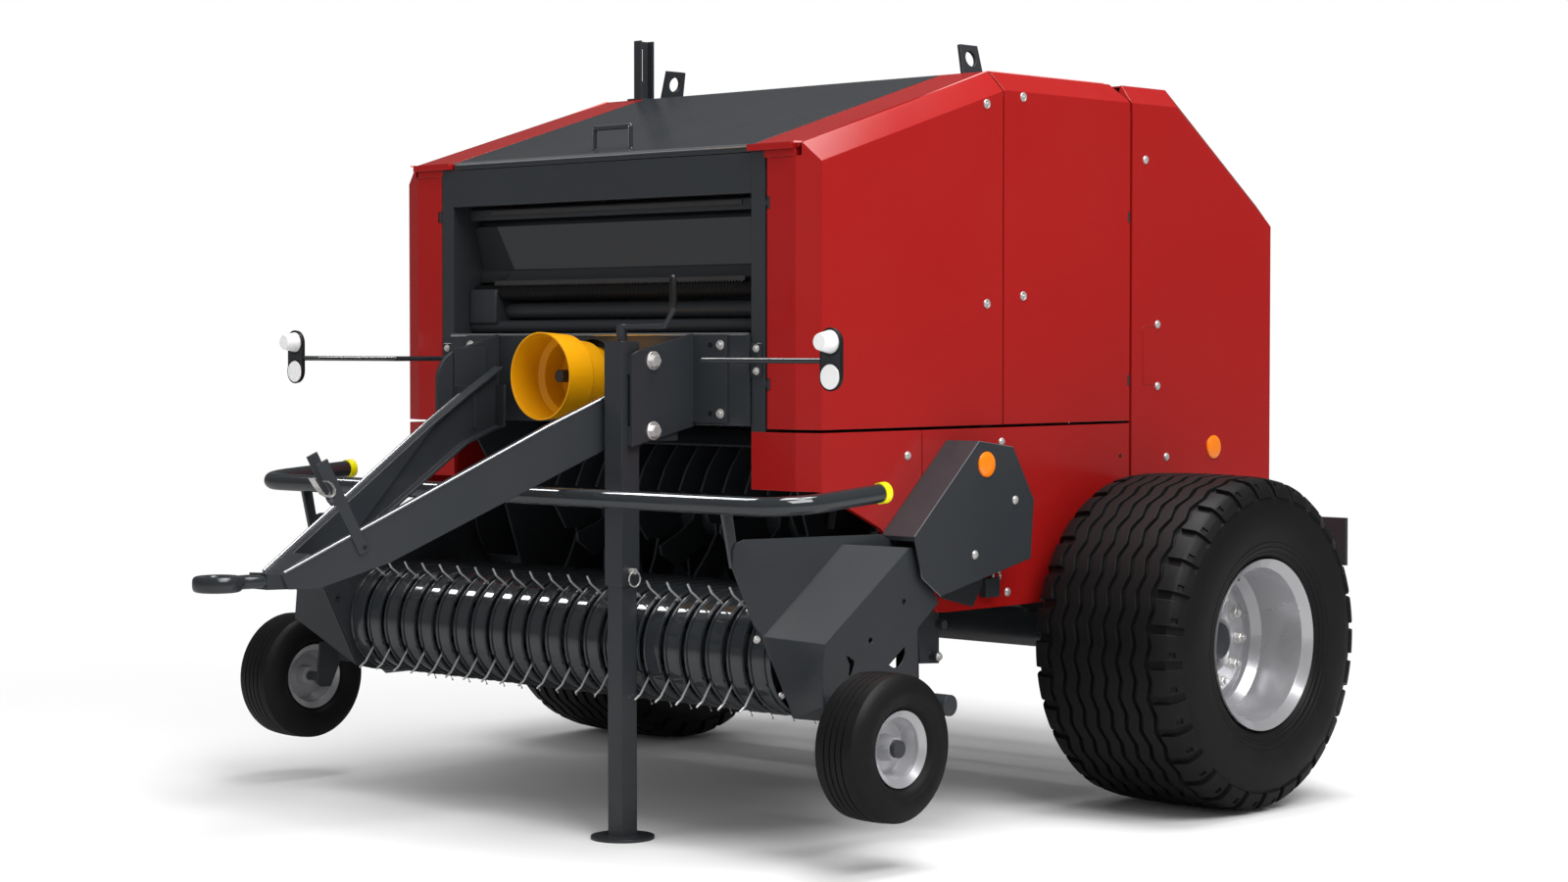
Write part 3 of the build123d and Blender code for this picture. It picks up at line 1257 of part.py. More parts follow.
def guard_caps():
    """Yellow caps on the guard's ends."""
    back = Vector(GUARD_END_X - GUARD_X, 0, GUARD_END_Z - GUARD_Z).normalized()
    start = Vector(GUARD_END_X, GUARD_HALF, GUARD_END_Z)
    cap = rod(start, start + back * 22, CAP_R)
    return across(cap)


def gauge_arms():
    """Arms that carry the pickup's small wheels, with their axle pins."""
    inner, outer = GAUGE_Y - 108, GAUGE_Y - 100
    stub = block(1292, 1338, PICKUP_OUT, outer, 352, 398)
    outline = [(1292, 410), (1405, 410), (1418, 290), (1400, 278), (1368, 278), (1331, 352), (1292, 352)]
    post = plate_xz(outline, inner, outer)
    pin = rod_y(GAUGE_X, GAUGE_Z, inner, GAUGE_Y + GAUGE_W * 0.34, GAUGE_PIN_R)
    head = rod_y(GAUGE_X, GAUGE_Z, GAUGE_Y + GAUGE_W * 0.28, GAUGE_Y + GAUGE_W * 0.36, 22)
    return across(stub + post + pin + head)


def place_wheel(shape, x, y, z, side):
    """A wheel piece at its hub, turned so that its outer face points outward."""
    if side < 0:
        shape = Rot(0, 0, 180) * shape
    return [Pos(x, side * y, z) * shape]


def main():
    """Build every node and write it."""
    os.makedirs("parts", exist_ok=True)
    fixed = (
        ("chamber_walls", chamber_walls),
        ("chamber_rollers", chamber_rollers),
        ("front_header", front_header),
        ("front_posts", front_posts),
        ("door_posts", lambda: [piece for post in door_posts() for piece in across(post)]),
        ("cross_panel", cross_panel),
        ("roof_caps", roof_caps),
        ("roof_panel", roof_panel),
        ("roof_lid", roof_lid),
        ("lower_skirts", lower_skirts),
        ("drive_covers", drive_covers),
        ("axle", axle),
        ("drawbar", drawbar),
        ("drawbar_eye", drawbar_eye),
        ("drawbar_brackets", drawbar_brackets),
        ("gearbox", gearbox),
        ("pto_guard", pto_guard),
        ("jack_tube", jack_tube),
        ("jack_leg", jack_leg),
        ("marker_arms", marker_arms),
        ("marker_lamps", marker_lamps),
        ("lifting_lugs", lifting_lugs),
        ("hose_holder", hose_holder),
        ("net_tray", net_tray),
        ("net_rollers", net_rollers),
        ("feed_floor", feed_floor),
        ("feed_strippers", feed_strippers),
        ("feed_rotor", feed_rotor),
        ("tailgate_sides", tailgate_sides),
        ("tailgate_back", tailgate_back),
        ("tailgate_walls", tailgate_walls),
        ("slat_conveyor", slat_conveyor),
        ("light_board", light_board),
        ("pickup_sides", pickup_sides),
        ("stripper_bands", stripper_bands),
        ("pickup_beam", pickup_beam),
        ("pickup_tines", pickup_tines),
        ("pickup_reel", pickup_reel),
        ("guard_bar", guard_bar),
        ("guard_caps", guard_caps),
        ("gauge_arms", gauge_arms),
    )
    for name, make in fixed:
        save(name, make())
    doors = (("front_door", front_door()), ("rear_door", rear_door()))
    wheels = (
        ("tyre", main_tyre(), 0.0, WHEEL_Y, AXLE_Z),
        ("rim", main_rim(), 0.0, WHEEL_Y, AXLE_Z),
        ("gauge_tyre", gauge_tyre(), GAUGE_X, GAUGE_Y, GAUGE_Z),
        ("gauge_rim", gauge_rim(), GAUGE_X, GAUGE_Y, GAUGE_Z),
    )
    for side, word in ((1, "left"), (-1, "right")):
        for name, shape in doors:
            save(f"{word}_{name}", [shape if side > 0 else mirror(shape, about=Plane.XZ)])
        for name, shape, x, y, z in wheels:
            save(f"{word}_{name}", place_wheel(shape, x, y, z, side))


if __name__ == "__main__":
    main()
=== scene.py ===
"""Looks of a round baler: studio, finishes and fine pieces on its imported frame.

Places are written in millimetres from the middle of the axle on the ground, as on a
drawing, and Datum turns them into the frame's own metres. Sections of turned pieces and
radii of tubes are in metres, unless a class says otherwise.
"""

import json
import logging
import math
from dataclasses import dataclass
from enum import Enum
from functools import cache, cached_property
from typing import Sequence

import bmesh
import bpy
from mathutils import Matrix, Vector


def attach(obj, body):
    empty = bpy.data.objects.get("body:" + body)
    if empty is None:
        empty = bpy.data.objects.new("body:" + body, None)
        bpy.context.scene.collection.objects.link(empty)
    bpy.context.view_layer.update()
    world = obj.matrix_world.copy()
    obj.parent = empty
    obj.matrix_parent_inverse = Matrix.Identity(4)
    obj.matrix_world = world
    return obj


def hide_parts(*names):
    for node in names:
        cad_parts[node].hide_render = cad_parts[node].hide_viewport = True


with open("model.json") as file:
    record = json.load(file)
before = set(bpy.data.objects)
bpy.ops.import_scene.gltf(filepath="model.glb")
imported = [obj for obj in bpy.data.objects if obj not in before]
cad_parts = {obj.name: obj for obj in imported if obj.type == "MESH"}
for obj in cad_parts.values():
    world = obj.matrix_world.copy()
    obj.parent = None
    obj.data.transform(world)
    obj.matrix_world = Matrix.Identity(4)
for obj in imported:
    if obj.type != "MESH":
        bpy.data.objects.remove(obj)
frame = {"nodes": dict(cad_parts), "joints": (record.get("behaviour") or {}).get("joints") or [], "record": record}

LOG = logging.getLogger("baler")
FULL_TURN = 2.0 * math.pi
MILLI = 1000
SIDES = {"left": 1.0, "right": -1.0}
SHARP = math.radians(32.0)
SHARP_CAD = math.radians(14.0)
FORWARD, LEFT, UP = Vector((1, 0, 0)), Vector((0, 1, 0)), Vector((0, 0, 1))
SINK = 0.001
RING_STEPS = 24

Point = tuple[float, float, float]
Flat = tuple[float, float]
Profile = Sequence[Flat]


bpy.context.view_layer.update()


# ---- places
class Datum:
    """Turns drawing places into places in the frame."""

    def __init__(self, joints: Sequence[dict]) -> None:
        self.joints: dict[str, dict] = {joint["name"]: joint for joint in joints}
        self.axle_x: float = self.axis("left_wheel_spin").x

    def at(self, x: float, y: float, z: float) -> Vector:
        """A place in millimetres from the axle, as a point of the frame."""
        return Vector((self.axle_x + x / MILLI, y / MILLI, z / MILLI))

    def path(self, places: Sequence[Point], side: float = 1.0) -> list[Vector]:
        """Places of the left side, or mirrored to the right with side -1."""
        return [self.at(x, side * y, z) for x, y, z in places]

    def wall(self, outline: Sequence[Flat], y: float) -> list[Vector]:
        """An outline of (x, z) in an upright plane along the machine."""
        return [self.at(x, y, z) for x, z in outline]

    def axis(self, joint: str) -> Vector:
        """The pivot of a joint."""
        return Vector(self.joints[joint]["pos_m"])


DATUM = Datum(frame["joints"])


def frame_of(axis: Vector) -> tuple[Vector, Vector, Vector]:
    """Unit vectors along an axis and across it."""
    along = axis.normalized()
    helper = UP if abs(along.z) < 0.9 else FORWARD
    side = along.cross(helper).normalized()
    return along, side, side.cross(along)


def circle(centre: Vector, u: Vector, v: Vector, radius: float, steps: int) -> list[Vector]:
    """Points on a circle in the plane of two unit vectors."""
    turns = [FULL_TURN * i / steps for i in range(steps)]
    return [centre + (u * math.cos(t) + v * math.sin(t)) * radius for t in turns]


def hoop(centre: Vector, u: Vector, v: Vector, radius: float) -> list[Vector]:
    """A circle whose last point is its first, as a path for a tube."""
    points = circle(centre, u, v, radius, RING_STEPS)
    return points + points[:1]


def spoke(turn: float) -> Vector:
    """Unit vector of a wheel at an angle from +X towards +Z."""
    return Vector((math.cos(turn), 0, math.sin(turn)))


def squared(turn: float, power: float) -> Flat:
    """Cosine and sine of a turn, pushed out towards a rounded square."""
    cos, sin = math.cos(turn), math.sin(turn)
    return math.copysign(abs(cos) ** power, cos), math.copysign(abs(sin) ** power, sin)


# ---- mesh drafting
class Draft:
    """Collects mesh parts in one bmesh and turns them into one piece."""

    def __init__(self) -> None:
        self.mesh = bmesh.new()

    def corners(self, points: Sequence[Vector]) -> list[bmesh.types.BMVert]:
        """New corners at points."""
        return [self.mesh.verts.new(point) for point in points]

    def face(self, corners: Sequence[bmesh.types.BMVert]) -> None:
        """A face over corners; where corners meet it is left out or becomes a triangle."""
        unique = list(dict.fromkeys(corners))
        if len(unique) > 2:
            self.mesh.faces.new(unique)

    def grid(self, rows: Sequence[Sequence[Vector]], closed: bool = False) -> None:
        """Skins equal rows of points, each a loop; closed joins the last row to the first."""
        loops = [self.corners(row) for row in rows]
        for a, b in zip(loops, loops[1:] + loops[:1] if closed else loops[1:]):
            for j, k in zip(range(len(a)), [*range(1, len(a)), 0]):
                self.face((a[j], a[k], b[k], b[j]))

    def turned(self, profile: Profile, origin: Vector, axis: Vector, steps: int) -> None:
        """Revolves (distance along the axis, radius) points; radius 0 closes an end."""
        along, side, up = frame_of(axis)
        loops = []
        for distance, radius in profile:
            centre = origin + along * distance
            points = circle(centre, side, up, radius, steps) if radius else [centre]
            loops.append(self.corners(points))
        for a, b in zip(loops, loops[1:]):
            for i in range(steps):
                k = (i + 1) % steps
                self.face((a[i % len(a)], b[i % len(b)], b[k % len(b)], a[k % len(a)]))

    def prism(self, sides: int, radius: float, origin: Vector, axis: Vector, height: float,
              bevel: float) -> None:
        """An upright prism with a bevelled top edge, closed at both ends."""
        profile = [(0.0, 0.0), (0.0, radius), (height - bevel, radius), (height, radius - bevel),
                   (height, 0.0)]
        self.turned(profile, origin, axis, sides)

    def tube(self, path: Sequence[Vector], radius: float, sides: int) -> None:
        """A round bar along a path, closed at both ends."""
        rows = []
        for i, point in enumerate(path):
            ahead = path[min(i + 1, len(path) - 1)] - path[max(i - 1, 0)]
            rows.append(circle(point, *frame_of(ahead)[1:], radius, sides))
        self.grid(rows)
        for row in (rows[0], rows[-1]):
            self.mesh.faces.new(self.corners(row))

    def plate(self, outline: Sequence[Vector], thickness: Vector) -> None:
        """A flat outline pushed along a vector."""
        low, high = self.corners(outline), self.corners([p + thickness for p in outline])
        self.mesh.faces.new(low[::-1])
        self.mesh.faces.new(high)
        for i in range(len(low)):
            k = (i + 1) % len(low)
            self.mesh.faces.new([low[i], low[k], high[k], high[i]])

    def box(self, low: Vector, high: Vector) -> None:
        """A box between two corners."""
        base = [Vector((x, y, low.z)) for x, y in
                ((low.x, low.y), (high.x, low.y), (high.x, high.y), (low.x, high.y))]
        self.plate(base, UP * (high.z - low.z))

    def done(self, name: str, look: "Look", body: str, slot: str, bevel: float = 0.0,
             sharp: float = SHARP) -> bpy.types.Object:
        """Makes the piece, gives it its finish, and lets it ride a body."""
        bmesh.ops.remove_doubles(self.mesh, verts=self.mesh.verts, dist=1e-6)
        bmesh.ops.recalc_face_normals(self.mesh, faces=self.mesh.faces)
        data = bpy.data.meshes.new(name)
        self.mesh.to_mesh(data)
        self.mesh.free()
        data.materials.append(look.material)
        data.shade_smooth()
        data.set_sharp_from_angle(angle=sharp)
        piece = bpy.data.objects.new(name, data)
        bpy.context.scene.collection.objects.link(piece)
        if bevel:
            edge = piece.modifiers.new("edge", "BEVEL")
            edge.width = bevel
            edge.segments = 2
            edge.limit_method = "ANGLE"
            edge.angle_limit = SHARP
        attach(piece, body)
        LOG.info("%s: %d faces on %s", name, len(data.polygons), body)
        return piece


# ---- shader graphs
Link = bpy.types.NodeSocket
Value = Link | float | tuple


class Graph:
    """Short hand for building a node tree."""

    def __init__(self, tree: bpy.types.NodeTree) -> None:
        self.tree = tree

    @classmethod
    def of(cls, owner: bpy.types.Material | bpy.types.World) -> "Graph":
        """The emptied graph of a material or a world."""
        owner.use_nodes = True
        owner.node_tree.nodes.clear()
        return cls(owner.node_tree)

    def feed(self, target: Link, value: Value) -> None:
        """Links a result to an input, or sets it to a constant."""
        if isinstance(value, Link):
            self.tree.links.new(value, target)
        else:
            target.default_value = value

    def add(self, kind: str, *values: Value, **named: Value) -> bpy.types.Node:
        """Adds a node; values fill its first inputs, names match inputs with '_' for a space."""
        node = self.tree.nodes.new(f"ShaderNode{kind}")
        for target, value in zip(node.inputs, values):
            self.feed(target, value)
        for key, value in named.items():
            self.feed(node.inputs[key.replace("_", " ")], value)
        return node

    @cached_property
    def place(self) -> Link:
        """Place on the object."""
        return self.add("TexCoord").outputs["Object"]

    def noise(self, **named: Value) -> Link:
        """Noise that stays on the object."""
        return self.add("TexNoise", Vector=self.place, **named).outputs["Fac"]

    def math(self, operation: str, a: Value, b: Value, clamp: bool = False) -> Link:
        """A maths node's result."""
        node = self.add("Math", a, b)
        node.operation = operation
        node.use_clamp = clamp
        return node.outputs[0]

    def vector(self, operation: str, *values: Value) -> Link:
        """A vector maths node's number."""
        node = self.add("VectorMath", *values)
        node.operation = operation
        return node.outputs["Value"]

    def ramp(self, value: Value, *ends: Value) -> Link:
        """Maps a range smoothly onto 0 to 1, or onto another range."""
        node = self.add("MapRange", value, *ends)
        node.interpolation_type = "SMOOTHSTEP"
        return node.outputs[0]

    def mix(self, factor: Value, a: Value, b: Value) -> Link:
        """A colour between two colours."""
        node = self.add("Mix")
        node.data_type = "RGBA"
        for index, value in zip((0, 6, 7), (factor, a, b)):
            self.feed(node.inputs[index], value)
        return node.outputs[2]

    def blend(self, factor: Value, a: bpy.types.Node, b: bpy.types.Node) -> bpy.types.Node:
        """A shader between two shaders."""
        return self.add("MixShader", factor, a.outputs[0], b.outputs[0])


class Socket(Enum):
    """Kinds of group socket."""

    NUMBER = "NodeSocketFloat"
    VECTOR = "NodeSocketVector"


class EffectGroup:
    """A shader node group that is made once and used by many materials."""

    def __init__(self, name: str, inputs: dict[str, float], outputs: dict[str, Socket]) -> None:
        self.tree = bpy.data.node_groups.new(name, "ShaderNodeTree")
        new_socket = self.tree.interface.new_socket
        for key, value in inputs.items():
            made = new_socket(name=key, in_out="INPUT", socket_type=Socket.NUMBER.value)
            made.default_value = value
        for key, kind in outputs.items():
            new_socket(name=key, in_out="OUTPUT", socket_type=kind.value)
        self.graph = Graph(self.tree)
        self.inside = self.tree.nodes.new("NodeGroupInput").outputs
        self.out = self.tree.nodes.new("NodeGroupOutput")

    def give(self, key: str, value: Link) -> None:
        """Connects a result to one of the group's outputs."""
        self.graph.feed(self.out.inputs[key], value)

    def use(self, graph: Graph, **values: float) -> Sequence[Link]:
        """Places the group in a material with its own values; returns its outputs."""
        node = graph.add("Group")
        node.node_tree = self.tree
        for key, value in values.items():
            graph.feed(node.inputs[key], value)
        return node.outputs


class Effects:
    """The effect groups that the finishes share."""

    BEVEL_SAMPLES = 6
    WEAR_NOISE = (0.45, 0.7)
    WEAR_TURN = (0.01, 0.12)
    DUST_NOISE = (0.35, 0.75)
    DUST_FACING = (0.2, 1.0)
    DUST_LOW, DUST_UP = 0.6, 0.4
    BROAD_NOISE = (0.3, 0.7)

    def __init__(self) -> None:
        self.edge = self.make_edge()
        self.wear = self.make_wear()
        self.dust = self.make_dust()
        self.grain = self.make_grain()
        self.mottle = self.make_mottle()

    def rounded(self, group: EffectGroup) -> Link:
        """Normal that is rounded over at edges."""
        bevel = group.graph.add("Bevel", Radius=group.inside["Radius"])
        bevel.samples = self.BEVEL_SAMPLES
        return bevel.outputs["Normal"]

    def make_edge(self) -> EffectGroup:
        """Normals rounded over at edges, as folded sheet and thick paint are."""
        group = EffectGroup("rounded_edge", {"Radius": 0.003}, {"Normal": Socket.VECTOR})
        group.give("Normal", self.rounded(group))
        return group

    def make_wear(self) -> EffectGroup:
        """Mask of outer edges where hands and crop rub the finish, broken up by noise."""
        group = EffectGroup("edge_wear", {"Radius": 0.002, "Amount": 0.5, "Scale": 60.0},
                            {"Mask": Socket.NUMBER})
        graph = group.graph
        plain = graph.add("NewGeometry").outputs["Normal"]
        turn = graph.math("SUBTRACT", 1.0, graph.vector("DOT_PRODUCT", self.rounded(group), plain))
        rough = graph.ramp(graph.noise(Scale=group.inside["Scale"], Detail=4.0), *self.WEAR_NOISE)
        edge = graph.ramp(turn, *self.WEAR_TURN)
        mask = graph.math("MULTIPLY", edge, rough)
        group.give("Mask", graph.math("MULTIPLY", mask, group.inside["Amount"]))
        return group

    def make_dust(self) -> EffectGroup:
        """Mask of fine dust: on faces that look up, and thicker near the ground."""
        group = EffectGroup("dust", {"Amount": 0.2, "Low": 0.0, "High": 0.9},
                            {"Mask": Socket.NUMBER})
        graph, inside = group.graph, group.inside
        height = graph.add("SeparateXYZ", graph.place).outputs["Z"]
        facing = graph.add("SeparateXYZ", graph.add("NewGeometry").outputs["Normal"]).outputs["Z"]
        low = graph.ramp(height, inside["High"], inside["Low"])
        up = graph.ramp(facing, *self.DUST_FACING)
        cloud = graph.ramp(graph.noise(Scale=9.0, Detail=6.0, Roughness=0.65), *self.DUST_NOISE)
        both = graph.math("ADD", graph.math("MULTIPLY", low, self.DUST_LOW),
                          graph.math("MULTIPLY", up, self.DUST_UP), clamp=True)
        mask = graph.math("MULTIPLY", both, cloud)
        group.give("Mask", graph.math("MULTIPLY", mask, inside["Amount"]))
        return group

    def make_grain(self) -> EffectGroup:
        """Fine grain: a height for a bump and a value for roughness."""
        group = EffectGroup("grain", {"Scale": 400.0, "Low": 0.3, "High": 0.4},
                            {"Height": Socket.NUMBER, "Roughness": Socket.NUMBER})
        graph, inside = group.graph, group.inside
        group.give("Height", graph.noise(Scale=inside["Scale"], Detail=3.0))
        broad = graph.noise(Scale=2.5, Detail=5.0)
        group.give("Roughness", graph.ramp(broad, *self.BROAD_NOISE, inside["Low"], inside["High"]))
        return group

    def make_mottle(self) -> EffectGroup:
        """Slow shift of tone over a surface."""
        group = EffectGroup("mottle", {"Scale": 3.0, "Amount": 0.5}, {"Value": Socket.NUMBER})
        tone = group.graph.noise(Scale=group.inside["Scale"], Detail=5.0)
        group.give("Value", group.graph.math("MULTIPLY", tone, group.inside["Amount"]))
        return group


EFFECTS = Effects()


# ---- finishes
def shade(screen: Sequence[float]) -> tuple[float, ...]:
    """A colour written in screen values from 0 to 255, as shader values."""
    def linear(value: float) -> float:
        share = value / 255
        return share / 12.92 if share <= 0.04045 else ((share + 0.055) / 1.055) ** 2.4
    return (*(linear(value) for value in screen), 1.0)


@dataclass(frozen=True)
class Finish:
    """One surface finish, built as one material; colours are screen values.

    Attributes:
        other: second tone that the mottle brings in.
        rough: lowest and highest roughness.
        metallic: 0 for paint and rubber, 1 for bare metal.
        coat: weight of the clear coat.
        coat_rough: roughness of the clear coat.
        specular: strength of the plain reflection.
        edge: radius over which edges look rounded, in metres.
        grain: scale of the fine bump.
        bump: strength of the fine bump.
        dust: strength of the dust.
        worn: strength of the edge wear.
        bare: colour that shows where the edge is worn.
    """

    name: str
    base: Point
    other: Point
    rough: Flat
    metallic: float = 0.0
    coat: float = 0.0
    coat_rough: float = 0.05
    specular: float = 0.5
    edge: float = 0.003
    grain: float = 300.0
    bump: float = 0.0
    dust: float = 0.0
    worn: float = 0.0
    bare: Point = (105, 107, 109)
    mottle_scale: float = 2.2
    bump_height: float = 0.0006
    dust_rough: float = 0.5
    dust_tone: tuple[float, ...] = (0.36, 0.31, 0.25, 1.0)

    def build(self) -> bpy.types.Material:
        """Makes the material."""
        material = bpy.data.materials.new(self.name)
        graph = Graph.of(material)
        grain = EFFECTS.grain.use(graph, Scale=self.grain, Low=self.rough[0], High=self.rough[1])
        tone, rough = self.tone(graph, grain["Roughness"])
        shader = graph.add(
            "BsdfPrincipled", Base_Color=tone, Roughness=rough, Metallic=self.metallic,
            Specular_IOR_Level=self.specular, Coat_Weight=self.coat, Coat_Roughness=self.coat_rough)
        normal = None
        if self.edge:
            normal = EFFECTS.edge.use(graph, Radius=self.edge)["Normal"]
        if self.bump:
            bump = graph.add("Bump", Strength=self.bump, Distance=self.bump_height,
                             Height=grain["Height"])
            if normal:
                graph.feed(bump.inputs["Normal"], normal)
            normal = bump.outputs["Normal"]
        if normal:
            graph.feed(shader.inputs["Normal"], normal)
        graph.add("OutputMaterial", shader.outputs["BSDF"])
        return material

    def tone(self, graph: Graph, rough: Value) -> tuple[Value, Value]:
        """Colour and roughness, with the wear and the dust laid over them."""
        mottle = EFFECTS.mottle.use(graph, Scale=self.mottle_scale, Amount=1.0)["Value"]
        tone = graph.mix(mottle, shade(self.base), shade(self.other))
        if self.worn:
            wear = EFFECTS.wear.use(graph, Amount=self.worn)["Mask"]
            tone = graph.mix(wear, tone, shade(self.bare))
        if self.dust:
            dust = EFFECTS.dust.use(graph, Amount=self.dust)["Mask"]
            tone = graph.mix(dust, tone, self.dust_tone)
            more = graph.math("MULTIPLY", dust, self.dust_rough)
            rough = graph.math("ADD", rough, more, clamp=True)
        return tone, rough


@cache
def made(finish: Finish) -> bpy.types.Material:
    """The material of a finish, made once."""
    return finish.build()


class Look(Enum):
    """Every finish of the scene."""

    RED = Finish("red_paint", (160, 24, 22), (153, 21, 20), (0.16, 0.22), edge=0.004, dust=0.03)
    DARK = Finish("dark_paint", (49, 52, 56), (44, 47, 51), (0.3, 0.42), edge=0.004, dust=0.05,
                  worn=0.2)
    GLOSS = Finish("dark_gloss", (44, 47, 50), (40, 43, 46), (0.06, 0.1), specular=0.9, edge=0.004)
    # Light metal for thin tubes on dark edges: a painted highlight where folded edges catch the light.
    SHEEN = Finish("edge_sheen", (188, 190, 194), (178, 180, 184), (0.14, 0.22), metallic=0.85,
                   edge=0.0)
    # Light pink: a painted highlight along the crest of the red caps.
    RED_HIGHLIGHT = Finish("red_painted_highlight", (236, 150, 148), (228, 138, 136), (0.25, 0.35), edge=0.0)
    # Light grey on dark edges: a painted highlight along the drive covers' front edges.
    GREY_HIGHLIGHT = Finish("grey_painted_highlight", (92, 95, 99), (84, 87, 91), (0.3, 0.4), edge=0.0)
    FOLDED = Finish("dark_folded", (49, 52, 56), (44, 47, 51), (0.2, 0.28), specular=0.6,
                    edge=0.004, dust=0.03)
    CAST = Finish("dark_casting", (44, 47, 50), (38, 41, 44), (0.1, 0.16), specular=0.8,
                  edge=0.014, bump=0.1, grain=260.0)
    GLASS = Finish("dark_glass", (40, 42, 45), (36, 38, 41), (0.04, 0.07), coat=0.3,
                   coat_rough=0.02, edge=0.001)
    STEEL = Finish("bare_steel", (120, 121, 122), (96, 96, 97), (0.3, 0.5), metallic=0.9,
                   bump=0.15, grain=500.0)
    SPRING = Finish("spring_steel", (226, 226, 226), (205, 205, 205), (0.2, 0.32), metallic=0.6,
                    edge=0.0)
    ZINC = Finish("zinc", (226, 224, 222), (205, 203, 200), (0.22, 0.36), metallic=0.6, edge=0.0006)
    YELLOW = Finish("yellow_plastic", (226, 158, 6), (233, 161, 3), (0.3, 0.42), specular=0.4,
                    edge=0.002, bump=0.08, dust=0.03)
    CAP = Finish("cap_plastic", (252, 246, 0), (246, 236, 0), (0.3, 0.4), edge=0.002)
    LENS = Finish("white_lens", (246, 246, 246), (238, 238, 238), (0.12, 0.2), coat=0.8, edge=0.002)
    SILVER = Finish("silver_paint", (196, 196, 199), (182, 182, 186), (0.18, 0.3), metallic=0.5,
                    coat=0.6, coat_rough=0.06, edge=0.002, dust=0.04)
    RUBBER = Finish("tyre_rubber", (20, 20, 21), (16, 16, 17), (0.42, 0.6), specular=0.25,
                    edge=0.0025, bump=0.2, grain=700.0, dust=0.02)
    BLACK = Finish("black_plastic", (24, 24, 26), (18, 18, 20), (0.3, 0.45), edge=0.001)
    ORANGE = Finish("orange_lens", (255, 140, 8), (255, 124, 0), (0.15, 0.25), coat=0.8, edge=0.001)
    RUBY = Finish("ruby_lens", (190, 8, 12), (160, 4, 8), (0.12, 0.2), coat=0.9, edge=0.001)

    @property
    def material(self) -> bpy.types.Material:
        """The finish as a material."""
        return made(self.value)


SLOT_LOOKS = {
    "red_paint": Look.RED, "dark_paint": Look.DARK, "bare_steel": Look.STEEL,
    "spring_steel": Look.SPRING, "yellow_plastic": Look.YELLOW, "white_lens": Look.LENS,
    "silver_paint": Look.SILVER, "tyre_rubber": Look.RUBBER,
}
NODE_LOOKS = {
    "guard_caps": Look.CAP, "stripper_bands": Look.GLOSS, "guard_bar": Look.GLOSS,
    "drawbar_eye": Look.CAST, "axle": Look.GLOSS, "marker_arms": Look.GLOSS,
    "net_rollers": Look.DARK, "cross_panel": Look.FOLDED, "front_header": Look.FOLDED,
    "roof_lid": Look.FOLDED,
}


def dress(record: dict, nodes: dict[str, bpy.types.Object]) -> None:
    """Puts the material of its slot, or one of its own, on each node of the record."""
    for part in record["subparts"]:
        data = nodes[part["node"]].data
        look = NODE_LOOKS.get(part["node"], SLOT_LOOKS[part["material_slot"]])
        data.materials.clear()
        data.materials.append(look.material)
        data.shade_smooth()
        data.set_sharp_from_angle(angle=SHARP_CAD)


def mirroring_nodes() -> bpy.types.Collection:
    """The nodes smooth enough to mirror the bright cards."""
    group = bpy.data.collections.new("mirroring_pieces")
    smooth = {Look.GLOSS.material, Look.CAST.material}
    for node in frame["nodes"].values():
        if node.data.materials[0] in smooth:
            group.objects.link(node)
    return group


# ---- studio
@dataclass(frozen=True)
class Lamp:
    """A soft area lamp; lengths in metres, power in watts.

    Attributes:
        aim: the point it looks at.
        mirrored: shows in glossy surfaces.
        card: only a bright card in the reflections of the mirroring nodes.
    """

    name: str
    place: Point
    aim: Point
    size: Flat
    power: float
    mirrored: bool = True
    card: bool = False

    def build(self, mirrors: bpy.types.Collection) -> None:
        """Hangs the lamp."""
        data = bpy.data.lights.new(self.name, "AREA")
        data.shape = "RECTANGLE"
        data.size, data.size_y = self.size
        data.energy = self.power
        lamp = bpy.data.objects.new(self.name, data)
        lamp.location = self.place
        lamp.rotation_mode = "QUATERNION"
        look = Vector(self.aim) - Vector(self.place)
        lamp.rotation_quaternion = look.to_track_quat("-Z", "Y")
        lamp.visible_glossy = self.mirrored
        lamp.visible_diffuse = not self.card
        if self.card:
            lamp.light_linking.receiver_collection = mirrors
        bpy.context.scene.collection.objects.link(lamp)


